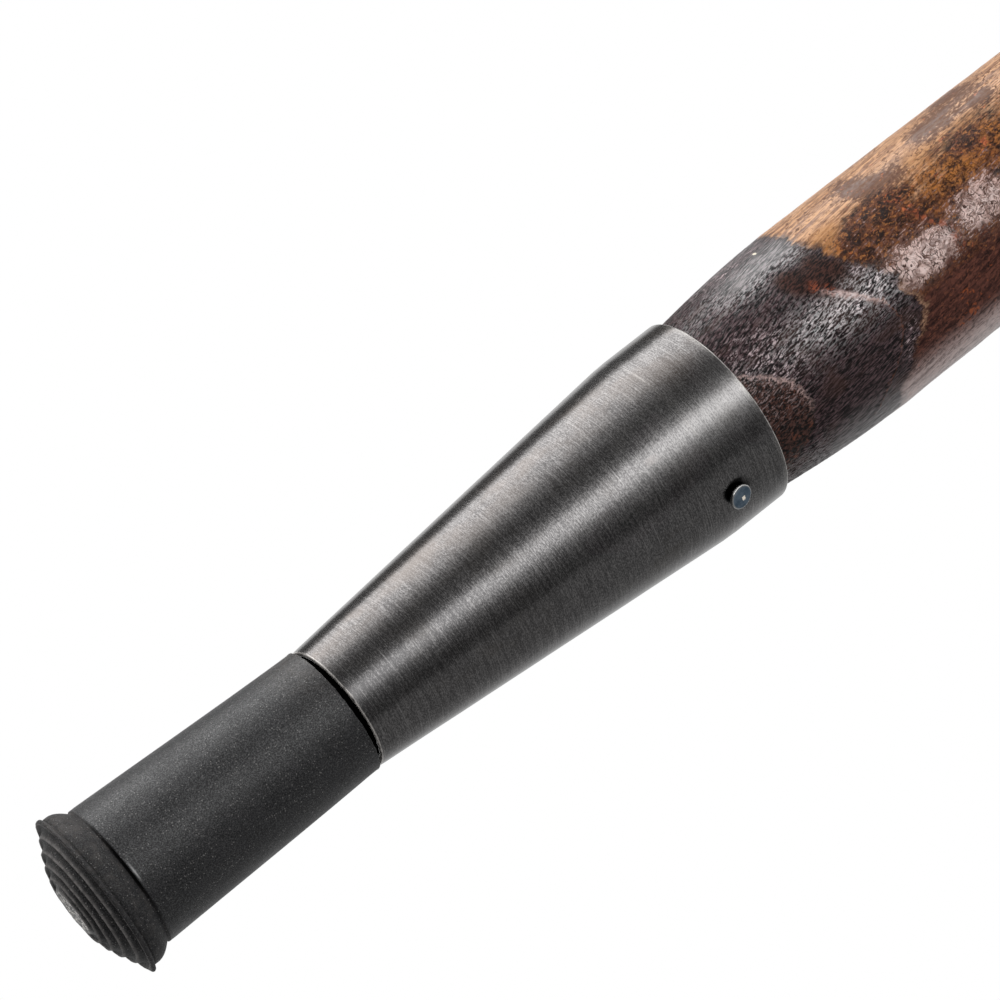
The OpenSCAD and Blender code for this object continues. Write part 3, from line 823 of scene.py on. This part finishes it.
class Finish:
    """Builds the nodes of one procedural material."""

    def __init__(self, name, **sockets):
        """A new material with some sockets of its shader set."""
        self.material = bpy.data.materials.new(name)
        self.material.use_nodes = True
        self.tree = self.material.node_tree
        self.shader = self.tree.nodes["Principled BSDF"]
        self.place = self.add("ShaderNodeTexCoord").outputs["Object"]
        self.drive(**sockets)

    def add(self, kind, inputs=None, **settings):
        """A node with its settings and the values or links of its inputs."""
        node = self.tree.nodes.new(kind)
        for name, value in settings.items():
            setattr(node, name, value)
        for name, value in (inputs or {}).items():
            self.feed(node.inputs[name], value)
        return node

    def feed(self, socket, value):
        """Links a socket, or sets it. A name stands for a mark, and a colour has three parts."""
        if isinstance(value, str):
            value = self.mark(value)
        if isinstance(value, bpy.types.NodeSocket):
            self.tree.links.new(value, socket)
        elif isinstance(value, tuple) and socket.type == "RGBA":
            socket.default_value = (*value, 1.0)
        else:
            socket.default_value = value

    def drive(self, **sockets):
        """Links or sets sockets of the shader."""
        for name, value in sockets.items():
            self.feed(self.shader.inputs[name.replace("_", " ")], value)

    def mark(self, name):
        """A value that the mesh keeps for each point."""
        return self.add("ShaderNodeAttribute", attribute_name=name).outputs["Fac"]

    def stretch(self, across, along):
        """Place on the piece in pattern units, so many to a millimetre across and along the staff."""
        scale = (across / MM, across / MM, along / MM)
        return self.add("ShaderNodeMapping", {"Vector": self.place, "Scale": scale}).outputs["Vector"]

    def cloud(self, across, along, detail=3.0, rough=0.5, bend=0.0):
        """Fractal noise from 0 to 1, by its features to a millimetre across and along the staff."""
        inputs = {"Vector": self.stretch(across, along), "Scale": 1.0}
        inputs.update({"Detail": detail, "Roughness": rough, "Distortion": bend})
        return self.add("ShaderNodeTexNoise", inputs).outputs["Fac"]

    def dots(self, density, reach, share):
        """Small dots in some cells of a grid of random points."""
        place = self.stretch(density, density)
        cells = self.add("ShaderNodeTexVoronoi", {"Vector": place, "Scale": 1.0})
        near = self.ramp(cells.outputs["Distance"], reach, reach * 0.4)
        pick = self.add("ShaderNodeSeparateColor", {"Color": cells.outputs["Color"]}).outputs["Red"]
        return self.times(near, self.ramp(pick, 1 - share, 1 - share * 0.6))

    def ramp(self, value, low, high, to_low=0.0, to_high=1.0):
        """Smooth change from one level to another as a value goes from low to high."""
        inputs = {"Value": value, "From Min": low, "From Max": high, "To Min": to_low, "To Max": to_high}
        return self.add("ShaderNodeMapRange", inputs, interpolation_type="SMOOTHSTEP").outputs["Result"]

    def fold(self, operation, values):
        """One value from several, taken from the last to the first."""
        total = values[-1]
        for value in reversed(values[:-1]):
            node = self.add("ShaderNodeMath", {0: value, 1: total}, operation=operation)
            total = node.outputs["Value"]
        return total

    def sums(self, *values):
        """Sum of values."""
        return self.fold("ADD", values)

    def times(self, *values):
        """Product of values."""
        return self.fold("MULTIPLY", values)

    def swing(self, value, reach):
        """A noise from 0 to 1 as a swing about nought."""
        return self.times(self.sums(value, -0.5), reach)

    def mix(self, share, first, second):
        """Colour between two colours."""
        return self.add("ShaderNodeMix", {0: share, 6: first, 7: second}, data_type="RGBA").outputs[2]

    def tint(self, colour, paint, value, low, high, weight=1.0):
        """A colour with paint over it, up to a weight as a value goes from low to high."""
        return self.mix(self.ramp(value, low, high, 0.0, weight), colour, paint)

    def over(self, colour, paint, first, second):
        """A colour with paint over it, by the product of two shares."""
        return self.mix(self.times(first, second), colour, paint)

    def bump(self, height, reach_mm, strength=1.0, under=None):
        """Normal of a height pattern, over another normal."""
        inputs = {"Height": height, "Distance": reach_mm * MM, "Strength": strength}
        if under is not None:
            inputs["Normal"] = under
        return self.add("ShaderNodeBump", inputs).outputs["Normal"]

    def dress(self, piece):
        """Gives a piece this material and no other."""
        piece.data.materials.clear()
        piece.data.materials.append(self.material)


def rubber_finish():
    """Charcoal moulded rubber with dust specks, dust on the rim, a scuffed tread, painted shade in its
    grooves, slit and lip, a painted highlight above the slit, and dust on the lit side that also stands
    in for a warm sheen.
    """
    f = Finish("rubber")
    tone = f.cloud(0.25, 0.18, 4)
    colour = f.tint((0.0052, 0.0053, 0.006), (0.0095, 0.0094, 0.0104), tone, 0.3, 0.7)
    dust = f.cloud(0.7, 0.7, 5, 0.65)
    rim = f.times("rim", f.ramp(dust, 0.42, 0.7))
    colour = f.over(colour, (0.04, 0.0365, 0.0345), rim, 0.6)
    # Dust on the lit left side, where its pale warm tone also stands in for a painted sheen
    colour = f.over(colour, (0.046, 0.039, 0.035), "dust_and_sheen", f.ramp(dust, 0.35, 0.65, 0.2, 0.7))
    # Painted shade in the tread's grooves
    colour = f.over(colour, (0.003, 0.003, 0.0034), "valley", 0.7)
    scuff = f.cloud(1.3, 1.3, 4, 0.6)
    colour = f.over(colour, (0.165, 0.155, 0.15), "wear", f.ramp(scuff, 0.35, 0.62, 0.45, 0.95))
    chalk = f.cloud(1.6, 1.6, 4, 0.7)
    colour = f.over(colour, (0.75, 0.71, 0.66), "disc", f.ramp(chalk, 0.51, 0.57))
    skin = f.cloud(5.5, 5.5, 2, 0.6)
    colour = f.tint(colour, (0.032, 0.0315, 0.033), skin, 0.53, 0.66, 0.7)
    specks = f.dots(3.0, 0.34, 0.3)
    colour = f.over(colour, (0.2, 0.193, 0.187), specks, 0.7)
    # Painted highlight: a pale line on the body above the slit
    colour = f.over(colour, (0.4, 0.4, 0.4), "painted_glint", 0.8)
    # Painted shade, near black, in the open slit and on the lip's inner face
    colour = f.over(colour, (0.002, 0.002, 0.002), "deep", 0.95)
    matt = f.sums(f.times("rim", 0.4), "deep")
    roughness = f.sums(f.ramp(tone, 0.25, 0.75, 0.44, 0.54), f.times(matt, 0.4))
    f.drive(Base_Color=colour, Roughness=roughness)
    sheen = f.times(f.ramp(matt, 0.0, 1.0, 0.46, 0.0), f.ramp(skin, 0.36, 0.64, 0.5, 1.5))
    f.drive(Specular_IOR_Level=sheen)
    waves = f.cloud(0.5, 0.3, 2)
    f.drive(Normal=f.bump(skin, 0.04, 0.7, f.bump(waves, 0.12, 0.5)))
    return f


def ferrule_finish():
    """Dark steel brushed round the axis, with stains, scratches, worn edges painted pale as highlights, a
    painted shadow at a nail, a painted highlight where cone meets collar, warm-tinted tarnish on the lit
    side, and painted light and shade on the front.
    """
    f = Finish("ferrule_steel")
    brush = f.cloud(0.22, 6.5, 3, 0.7)
    fine = f.cloud(3.0, 7.0, 2, 0.65)
    scratch = f.cloud(0.09, 6.0, 3, 0.6)
    stain = f.cloud(0.16, 0.09, 4, 0.6)
    lines = f.sums(f.times(brush, 0.4), f.times(fine, 0.6))
    # The painted light and shade also shift the brush lines
    tone = f.sums(lines, f.times("lit", 0.045))
    colour = f.tint((0.07, 0.068, 0.0685), (0.225, 0.218, 0.2165), tone, 0.41, 0.66)
    colour = f.tint(colour, (0.3, 0.292, 0.288), scratch, 0.62, 0.69, 0.5)
    colour = f.tint(colour, (0.078, 0.07, 0.062), stain, 0.5, 0.74, 0.35)
    tarnish = f.ramp(stain, 0.4, 0.6, 0.1, 0.5)
    # Tarnish on the lit left side, where it also paints a warm tint into the highlight
    colour = f.over(colour, (0.14, 0.12, 0.108), "tarnish_and_warm_sheen", tarnish)
    # Painted light and shade: lighter up the front of the collar, darker down the front of the cone
    colour = f.tint(colour, (0.24, 0.235, 0.23), "lit", 0.0, 1.0, 0.25)
    colour = f.tint(colour, (0.045, 0.045, 0.046), "lit", 0.0, -1.0, 0.25)
    colour = f.over(colour, (0.055, 0.044, 0.038), "smudge", f.ramp(fine, 0.35, 0.6, 0.95, 0.5))
    colour = f.over(colour, (0.2, 0.185, 0.18), "spot", 0.55)
    # Painted shadow under the nail's head
    colour = f.over(colour, (0.004, 0.004, 0.004), "nail_shadow", 0.96)
    chips = f.cloud(0.9, 0.9, 3)
    # Worn edges, painted pale and less metallic as highlight lines
    edge = f.times("edge", f.ramp(chips, 0.3, 0.6, 0.35, 1.0))
    colour = f.mix(edge, colour, (0.5, 0.475, 0.45))
    # Painted highlight where the cone meets the collar
    colour = f.over(colour, (0.4, 0.38, 0.36), "kink_highlight", f.ramp(chips, 0.35, 0.6, 0.2, 0.65))
    f.drive(Base_Color=colour, Metallic=f.ramp(edge, 0.0, 1.0, 1.0, 0.25))
    f.drive(Roughness=f.ramp(lines, 0.36, 0.64, 0.2, 0.26))
    f.drive(Normal=f.bump(lines, 0.008, 0.3))
    return f


def zinc_finish():
    """Plated nail: a blue-grey face with dull patches, a pale fleck painted as a highlight, and a pale
    ring painted round its rim as a highlight.
    """
    f = Finish("zinc")
    patch = f.cloud(0.8, 0.8, 4, 0.6)
    colour = f.tint((0.085, 0.125, 0.17), (0.155, 0.205, 0.26), patch, 0.35, 0.65)
    # Painted highlight round the head's rim
    colour = f.over(colour, (0.5, 0.49, 0.47), "ring", 0.8)
    # Painted highlight: a small pale, not metallic patch on the face
    colour = f.mix("fleck", colour, (0.9, 0.82, 0.7))
    f.drive(Base_Color=colour, Roughness=f.ramp(patch, 0.3, 0.7, 0.14, 0.24))
    f.drive(Metallic=f.ramp("fleck", 0.0, 1.0, 1.0, 0.0))
    dents = f.ramp("ring", 0.0, 0.5, 0.5, 0.0)
    f.drive(Normal=f.bump(f.cloud(1.6, 1.6, 2), 0.05, dents))
    return f


def turned_finish(name, dark, light, lathe_pitch, rough):
    """Steel with fine lathe lines round the axis, faint stains, and painted shade where it runs into the
    sleeve.
    """
    f = Finish(name, Metallic=1.0)
    lines = f.cloud(0.05, 1 / lathe_pitch, 3, 0.6)
    stain = f.cloud(0.3, 0.3, 4, 0.6)
    colour = f.tint(dark, light, lines, 0.35, 0.65)
    colour = f.tint(colour, tuple(0.5 * part for part in dark), stain, 0.55, 0.75, 0.5)
    height = f.add("ShaderNodeSeparateXYZ", {"Vector": f.stretch(1, 1)}).outputs["Z"]
    # Painted shade: near black from just below the sleeve's lower end upward, with rougher steel there
    root_shade = f.ramp(f.sums(height, f.times(stain, 2.0)), SLEEVE_Z0 - 2, SLEEVE_Z0)
    colour = f.mix(root_shade, colour, (0.006, 0.0055, 0.005))
    roughness = f.sums(f.ramp(stain, 0.3, 0.7, rough, rough + 0.14), f.times(root_shade, 0.5))
    f.drive(Base_Color=colour, Roughness=roughness)
    f.drive(Normal=f.bump(lines, 0.02, 0.5))
    return f


def brass_finish():
    """Aged brass with dark tarnish in patches and fine rubbing."""
    f = Finish("brass", Metallic=1.0)
    tarnish = f.cloud(0.5, 0.5, 5, 0.6)
    colour = f.tint((0.5, 0.36, 0.16), (0.2, 0.125, 0.06), tarnish, 0.38, 0.68)
    f.drive(Base_Color=colour, Roughness=f.ramp(tarnish, 0.3, 0.7, 0.24, 0.45))
    f.drive(Normal=f.bump(f.cloud(2, 2, 3), 0.03, 0.4))
    return f


def wood_finish():
    """Lacquered stick: charred rasped foot, bare tan, mottled bark, pale lumps and ruddy wood."""
    f = Finish("wood", Coat_IOR=2.1, Specular_IOR_Level=0.1)
    f.place = f.add("ShaderNodeAttribute", attribute_name="fibre_place").outputs["Vector"]
    fibre = f.cloud(1.3, 0.09, 4, 0.6)
    hair = f.cloud(4.5, 0.5, 3, 0.6)
    mottle = f.cloud(0.34, 0.2, 5, 0.65, 0.6)
    blot = f.cloud(0.9, 0.6, 4, 0.65, 0.8)
    fleck = f.cloud(1.2, 1.0, 3, 0.6, 0.6)
    crumb = f.cloud(2.4, 1.4, 3, 0.65, 0.8)
    chip = f.cloud(4.2, 1.15, 3, 0.62, 0.4)
    grit = f.cloud(5.5, 3.2, 2, 0.6, 0.3)
    rasp = f.sums(f.times(chip, 0.75), f.times(grit, 0.25))
    wash = f.cloud(0.09, 0.035, 3, 0.5, 0.4)
    streak = f.sums(f.times(fibre, 0.5), f.times(hair, 0.5))

    # Mottled bark
    wave = f.cloud(0.6, 0.7, 2, 0.5, 1.8)
    fold = f.times(f.ramp(wave, 0.445, 0.48), f.ramp(wave, 0.54, 0.505))
    # Pale lines beside the folds, painted as highlights that make the wrinkles look raised
    brow_highlight = f.times(f.ramp(wave, 0.52, 0.55), f.ramp(wave, 0.6, 0.565))
    dark = f.tint((0.013, 0.005, 0.0035), (0.125, 0.038, 0.012), blot, 0.38, 0.62)
    golden = f.tint((0.25, 0.078, 0.014), (0.37, 0.13, 0.02), "glow", 0.2, 0.9)
    amber = f.tint((0.06, 0.017, 0.004), golden, blot, 0.36, 0.62)
    amber = f.tint(amber, (0.05, 0.016, 0.006), hair, 0.42, 0.62, 0.35)
    spots = f.sums(f.times("glow", 0.2), f.times("shade", -0.22))
    bark = f.tint(dark, amber, f.sums(mottle, spots), 0.45, 0.59)
    bark = f.over(bark, (0.012, 0.005, 0.0035), fold, f.ramp(mottle, 0.4, 0.6, 0.9, 0.6))
    bark = f.tint(bark, (0.35, 0.13, 0.033), crumb, 0.44, 0.36, 0.8)
    bark = f.tint(bark, (0.011, 0.0045, 0.003), crumb, 0.54, 0.6, 0.85)
    ember = f.sums(fleck, f.times("embers", 0.17))
    glow = f.tint((0.46, 0.12, 0.04), (0.17, 0.035, 0.014), crumb, 0.38, 0.6)
    bark = f.tint(bark, glow, ember, 0.65, 0.73, 0.9)

    # Pale lumps on the bark
    lump = f.tint((0.19, 0.096, 0.073), (0.6, 0.42, 0.375), blot, 0.37, 0.6)
    lump = f.over(lump, (0.028, 0.011, 0.008), fold, f.ramp(mottle, 0.45, 0.62, 0.97, 0.6))
    lump = f.tint(lump, (0.06, 0.027, 0.02), crumb, 0.55, 0.63, 0.45)
    # Painted highlight beside each fold
    lump = f.over(lump, (0.78, 0.6, 0.55), brow_highlight, 0.7)
    flaky = f.sums(f.swing(crumb, 1.5), f.swing(hair, 1.5))
    ragged = f.sums(f.swing(blot, 1.2), f.swing(mottle, 1.2), flaky)
    lumps = f.sums("lump", ragged)
    bark = f.tint(bark, (0.14, 0.066, 0.05), lumps, 0.15, 0.5, 0.8)
    bark = f.tint(bark, lump, lumps, 0.45, 0.7, 0.95)
    seam = f.tint((0.02, 0.008, 0.006), (0.3, 0.075, 0.03), fleck, 0.42, 0.58)
    bark = f.over(bark, seam, "seam", f.ramp(crumb, 0.35, 0.6, 1.0, 0.6))

    # Bare tan wood on one side, ruddy wood on the other, and knots
    tan = f.tint((0.22, 0.098, 0.044), (0.61, 0.35, 0.195), streak, 0.42, 0.58)
    tan = f.tint(tan, (0.4, 0.185, 0.06), "gold", 0.2, 1.0, 0.6)
    stain = f.sums(mottle, f.times("dusk", 0.5), f.swing(crumb, 1.4))
    tan = f.tint(tan, (0.09, 0.037, 0.022), stain, 0.56, 0.8, 0.88)
    tan = f.tint(tan, (0.12, 0.05, 0.025), crumb, 0.53, 0.62, 0.55)
    tan = f.tint(tan, (0.42, 0.14, 0.06), ember, 0.67, 0.73, 0.7)
    bare = f.sums("bare", f.times(mottle, 0.8), f.times(streak, 0.8))
    bare = f.sums(bare, f.times("shade", -0.3))
    upper = f.tint(bark, tan, bare, 1.0, 1.38)
    speckle = f.sums(f.times(streak, 0.55), f.times(crumb, 0.45))
    red = f.tint((0.014, 0.005, 0.0042), (0.12, 0.04, 0.027), speckle, 0.6, 0.42)
    red = f.tint(red, (0.028, 0.0085, 0.0065), blot, 0.42, 0.6, 0.5)
    # Painted sheen: a pale pink veil along the right edge
    red = f.over(red, (0.5, 0.36, 0.335), "right_edge_sheen", f.ramp(speckle, 0.58, 0.44, 0.3, 0.95))
    red = f.tint(red, (0.2, 0.065, 0.028), crumb, 0.42, 0.33, 0.5)
    red = f.tint(red, (0.3, 0.075, 0.025), ember, 0.67, 0.73, 0.7)
    ruddy = f.sums("ruddy", f.times(mottle, 0.7), f.times(wash, 0.4))
    upper = f.tint(upper, red, ruddy, 0.82, 1.05)
    knot = f.sums("knot", f.times(fleck, 0.3))
    upper = f.tint(upper, (0.022, 0.01, 0.007), knot, 0.55, 0.95, 0.8)

    # Rasped and charred foot, with painted highlights on its rasp chips, painted shade in its hollows,
    # its ridge line, its rusty patch and a pale speck
    char = f.tint((0.0055, 0.0035, 0.0037), (0.075, 0.044, 0.048), hair, 0.42, 0.6)
    char = f.tint(char, (0.0018, 0.0013, 0.0014), rasp, 0.48, 0.42, 0.95)
    # Painted highlights: pale strokes on the rasp chips round the front
    stroke = f.sums(rasp, f.times("chips", 0.035))
    pale = f.times(f.ramp(stroke, 0.54, 0.61), f.ramp("chips", 0.05, 0.9, 0.12, 1.0))
    char = f.over(char, (0.52, 0.4, 0.41), pale, f.ramp(blot, 0.42, 0.6, 0.15, 1.0))
    char = f.tint(char, (0.045, 0.021, 0.016), f.cloud(0.3, 0.12, 3, 0.6, 0.5), 0.5, 0.72, 0.55)
    # Painted shade: the rasped zone goes near black in its hollows
    pit_shade = f.tint((0.003, 0.002, 0.0018), (0.055, 0.021, 0.015), rasp, 0.44, 0.57)
    hollow_shade = f.sums("valley", f.swing(blot, 1.2), f.swing(rasp, 1.5))
    char = f.tint(char, pit_shade, hollow_shade, 0.25, 0.75, 0.95)
    char = f.over(char, (0.2, 0.05, 0.024), f.ramp("embers", 0.25, 0.9), f.ramp(speckle, 0.53, 0.47))
    tooth = f.swing(f.cloud(1.1, 0.8, 4, 0.6), 2.4)
    line = f.sums("ring_line", tooth)
    wide = f.times(f.ramp(line, -1.6, 0.0), f.ramp(line, 1.0, 0.0))
    thin = f.times(f.ramp(line, -0.3, 0.0), f.ramp(line, 0.3, 0.0))
    thick = f.mark("line_thick")
    line = f.sums(f.times(wide, thick, 0.9), f.times(thin, 0.5))
    line = f.times(line, "line_shown", f.ramp(crumb, 0.35, 0.6, 1.0, 0.45))
    # The ridge line: dark red-brown, and pale pink on its front and left, where the pale is partly a
    # painted highlight
    char = f.tint(char, f.mix(thick, (0.22, 0.08, 0.042), (0.5, 0.36, 0.335)), line, 0.0, 1.0)
    patch = f.sums("red_patch", tooth, f.swing(crumb, 2.5))
    rust = f.tint((0.065, 0.03, 0.024), (0.006, 0.0042, 0.0038), crumb, 0.42, 0.54)
    rust = f.tint(rust, (0.16, 0.055, 0.033), fleck, 0.6, 0.68, 0.6)
    # Painted highlights: pale strokes in the rusty patch along its lip
    rust = f.over(rust, (0.34, 0.24, 0.235), "patch_lip", f.ramp(rasp, 0.52, 0.6, 0.0, 0.6))
    char = f.tint(char, rust, patch, -0.15, 0.15)
    lip = f.times(f.ramp(patch, -0.25, 0.05), f.ramp(patch, 1.0, 0.25))
    lip = f.times(lip, "patch_lip", f.ramp(crumb, 0.4, 0.56, 0.95, 0.3))
    char = f.mix(lip, char, (0.44, 0.31, 0.29))
    char = f.tint(char, (0.72, 0.66, 0.52), "speck", 0.25, 0.6)

    # The edge between foot and bark, the cut end, the lacquer and the fine relief
    above = f.sums("above_rasp", f.swing(mottle, 6.0), tooth)
    charred = f.ramp(above, 0.5, -0.3)
    sooty = f.sums(above, f.times(fibre, 3.0))
    upper = f.over(upper, (0.034, 0.016, 0.011), f.ramp(sooty, 3.2, 1.2), 0.7)
    border = f.times(f.ramp(above, 0.0, 0.5), f.ramp(above, 1.3, 0.6))
    border = f.times(f.times(border, "border"), f.ramp(crumb, 0.35, 0.6, 1.0, 0.2))
    upper = f.mix(border, upper, (0.32, 0.18, 0.11))
    colour = f.mix(charred, upper, char)
    end = f.cloud(0.5, 0.5, 4)
    colour = f.over(colour, (0.2, 0.11, 0.055), "end_grain", f.ramp(end, 0.3, 0.6, 0.4, 1.0))
    f.drive(Base_Color=colour, Roughness=f.ramp(fibre, 0.3, 0.7, 0.45, 0.65))
    glitter = f.mix("calm", f.ramp(rasp, 0.45, 0.56, 0.03, 1.5), f.ramp(hair, 0.4, 0.6, 0.45, 0.9))
    rough_shine = f.times(charred, glitter)
    smooth_shine = f.times(f.ramp(fold, 0.2, 0.8, 1.1, 0.2), f.ramp(crumb, 0.6, 0.45, 0.5, 1.1))
    smooth_shine = f.mix("calm", smooth_shine, f.ramp(speckle, 0.43, 0.58, 1.2, 0.5))
    smooth_shine = f.times(f.ramp(charred, 0.0, 1.0, 1.0, 0.0), smooth_shine)
    f.drive(Coat_Weight=f.ramp(f.times("coat", f.sums(rough_shine, smooth_shine)), 0.0, 1.0))
    f.drive(Coat_Roughness=f.ramp("strip", 0.0, 1.0, 0.36, 0.24))
    rasped = f.bump(rasp, 0.1, f.ramp(charred, 0.0, 1.0, 0.0, 0.6), f.bump(hair, 0.06, 0.3))
    f.drive(Normal=f.bump(crumb, 0.08, f.ramp(charred, 0.0, 1.0, 0.5, 0.0), rasped))
    glaze = f.bump(rasp, 0.07, f.ramp(charred, 0.0, 1.0, 0.0, 0.8))
    crease = f.ramp(fold, 0.0, 1.0, 1.0, 0.0)
    even = f.ramp(f.sums(charred, "calm"), 0.0, 1.0, 0.6, 0.0)
    f.drive(Coat_Normal=f.bump(crease, 0.06, even, glaze))
    return f


# Pieces and their finishes

rubber_finish().dress(build_cap())
ferrule_finish().dress(build_sleeve())
zinc_finish().dress(build_nails())
wood_finish().dress(build_shaft())
turned_steel = turned_finish("turned_steel", (0.34, 0.34, 0.35), (0.52, 0.52, 0.53), 0.35, 0.22)
turned_steel.dress(nodes["ferrule_plug"])
turned_steel.dress(nodes["cap_disc"])
turned_finish("hard_steel", (0.16, 0.16, 0.18), (0.28, 0.28, 0.31), 0.5, 0.28).dress(nodes["spike"])
brass = brass_finish()
brass.dress(nodes["strap_eyelet_front"])
brass.dress(nodes["strap_eyelet_back"])

# Camera

back = Vector((
    math.cos(TILT) * math.sin(TURN),
    -math.cos(TILT) * math.cos(TURN),
    -math.sin(TILT),
))
level_right = Vector((math.cos(TURN), math.sin(TURN), 0.0))
level_up = back.cross(level_right)
right = math.cos(ROLL) * level_right + math.sin(ROLL) * level_up
up = -math.sin(ROLL) * level_right + math.cos(ROLL) * level_up
place = AIM + ASIDE * right + UP * up + DISTANCE * back

camera_data = bpy.data.cameras.new("camera")
camera_data.lens = LENS_MM
camera_data.sensor_width = SENSOR_MM
camera_data.clip_start = 0.01
camera_data.clip_end = 100.0
camera = add_object("camera", camera_data)
camera.matrix_world = Matrix.Translation(place) @ Matrix((right, up, back)).transposed().to_4x4()

scene = bpy.context.scene
scene.camera = camera
scene.view_settings.view_transform = "Standard"

# Studio: tall lamps and dark flags that stand round the staff, measured from the camera

STUDIO_MIDDLE_Z = 0.55
STUDIO_H = 3.4
LAMP_R = 1.3
FLAG_R = 1.6
LOW_FLAG_Z = -1.0
LOW_FLAG_LEVEL = 0.12
FLAG_SHARE = 1.3
FLOOR_HALF = 4.0
FLOOR_Z = -0.0006
FILL = 0.42
WHITE = (1.0, 1.0, 1.0)
BLACK = (0.0, 0.0, 0.0)

# Glow of the floor: distances from and to, then its levels there
FLOOR_GLOW = (0.15, 1.0, 0.45, 0.75)


def studio_direction(turn_deg):
    """Level direction at a turn to the right of the camera, as the camera sees the staff upright."""
    a = FACE + math.radians(turn_deg)
    return Vector((math.cos(a), math.sin(a), 0.0))


def add_lamp(name, from_deg, to_deg, radiance):
    """Tall soft lamp between two directions, which sends out an even radiance."""
    outward = studio_direction((from_deg + to_deg) / 2)
    width = 2 * LAMP_R * math.tan(math.radians(to_deg - from_deg) / 2)
    data = bpy.data.lights.new(name, "AREA")
    data.shape = "RECTANGLE"
    data.size = width
    data.size_y = STUDIO_H
    data.energy = radiance * math.pi * width * STUDIO_H
    lamp = add_object(name, data)
    lamp.location = LAMP_R * outward + Vector((0, 0, STUDIO_MIDDLE_Z))
    lamp.rotation_euler = outward.to_track_quat("Z", "Y").to_euler()
    lamp.visible_camera = False


def add_flag(name, from_deg, to_deg, level):
    """Tall dark panel, seen only in reflections."""
    steps = max(2, int((to_deg - from_deg) / 5))
    points = []
    for i in range(steps + 1):
        outward = FLAG_R * studio_direction(from_deg + (to_deg - from_deg) * i / steps)
        for end in (-0.5, 0.5):
            points.append((outward.x, outward.y, STUDIO_MIDDLE_Z + FLAG_SHARE * STUDIO_H * end))
    faces = [(2 * i, 2 * i + 2, 2 * i + 3, 2 * i + 1) for i in range(steps)]
    set_flag(name, points, faces, level)


def add_low_flag():
    """Dark round panel under the staff, seen only in reflections."""
    steps = 48
    drop = Vector((0, 0, LOW_FLAG_Z))
    points = [FLAG_R * studio_direction(360 * i / steps) + drop for i in range(steps)]
    set_flag("low_flag", points, [tuple(range(steps))], LOW_FLAG_LEVEL)


def set_flag(name, points, faces, level):
    """Stage panel with a faint even glow."""
    flag = add_mesh(name, points, faces)
    f = Finish(name, Base_Color=BLACK, Specular_IOR_Level=0.0)
    f.drive(Emission_Color=WHITE, Emission_Strength=level)
    f.dress(flag)
    flag.visible_camera = False
    flag.visible_diffuse = False
    flag.visible_transmission = False
    flag.visible_shadow = False


# Directions from and to, in degrees, and the radiance of each lamp and flag
LAMPS = (
    (-119, -112, 2.75), (-112, -96, 3.05), (-96, -84, 2.5), (-84, -74, 1.8), (-74, -66, 1.25),
    (-16, -11, 1.6), (-11, -1, 2.75), (-1, 4, 2.1), (4, 9, 1.25),
)
FLAGS = (
    (-150, -119.5, 0.13), (-65.5, -58, 0.9), (-58, -50, 0.55), (-50, -30, 0.26), (-30, -24, 0.38),
    (-24, -16.5, 0.6), (9.5, 16, 0.75), (16, 23, 0.45), (23, 32, 0.25), (32, 50, 0.15),
    (50, 110, 0.38), (110, 130, 0.46), (130, 150, 0.62), (150, 176, 0.74),
)
for number, lamp in enumerate(LAMPS):
    add_lamp(f"lamp_{number}", *lamp)
for number, flag in enumerate(FLAGS):
    add_flag(f"flag_{number}", *flag)
add_low_flag()


def build_floor():
    """Pale floor with the staff's soft shadow, which isn't in the way from below."""
    corners = [(FLOOR_HALF * x, FLOOR_HALF * y, 0) for x, y in ((-1, -1), (1, -1), (1, 1), (-1, 1))]
    floor = add_mesh("floor", corners, [(0, 1, 2, 3)])
    floor.location.z = FLOOR_Z
    f = Finish("floor", Base_Color=(0.8, 0.8, 0.8), Roughness=0.9, Specular_IOR_Level=0.1)
    away = f.add("ShaderNodeVectorMath", {0: f.place}, operation="LENGTH").outputs["Value"]
    f.drive(Emission_Color=WHITE, Emission_Strength=f.ramp(away, *FLOOR_GLOW))
    clear = f.add("ShaderNodeBsdfTransparent").outputs["BSDF"]
    side = f.add("ShaderNodeNewGeometry").outputs["Backfacing"]
    shown = f.add("ShaderNodeMixShader", {0: side, 1: f.shader.outputs["BSDF"], 2: clear})
    f.feed(f.tree.nodes["Material Output"].inputs["Surface"], shown.outputs["Shader"])
    f.dress(floor)
    floor.visible_diffuse = False
    floor.visible_glossy = False
    floor.visible_transmission = False
    floor.visible_shadow = False


def build_world():
    """White to the camera and in reflections, and an even grey fill for the rest."""
    world = bpy.data.worlds.new("world")
    scene.world = world
    world.use_nodes = True
    tree = world.node_tree
    fill = tree.nodes["Background"]
    white = tree.nodes.new("ShaderNodeBackground")
    for background, strength in ((fill, FILL), (white, 1.0)):
        background.inputs["Color"].default_value = (*WHITE, 1.0)
        background.inputs["Strength"].default_value = strength
    path = tree.nodes.new("ShaderNodeLightPath")
    seen = path.outputs["Is Camera Ray"]
    for kind in ("Is Glossy Ray", "Is Transmission Ray"):
        either = tree.nodes.new("ShaderNodeMath")
        either.operation = "MAXIMUM"
        tree.links.new(seen, either.inputs[0])
        tree.links.new(path.outputs[kind], either.inputs[1])
        seen = either.outputs["Value"]
    mix = tree.nodes.new("ShaderNodeMixShader")
    tree.links.new(seen, mix.inputs[0])
    tree.links.new(fill.outputs["Background"], mix.inputs[1])
    tree.links.new(white.outputs["Background"], mix.inputs[2])
    tree.links.new(mix.outputs["Shader"], tree.nodes["World Output"].inputs["Surface"])


build_floor()
build_world()
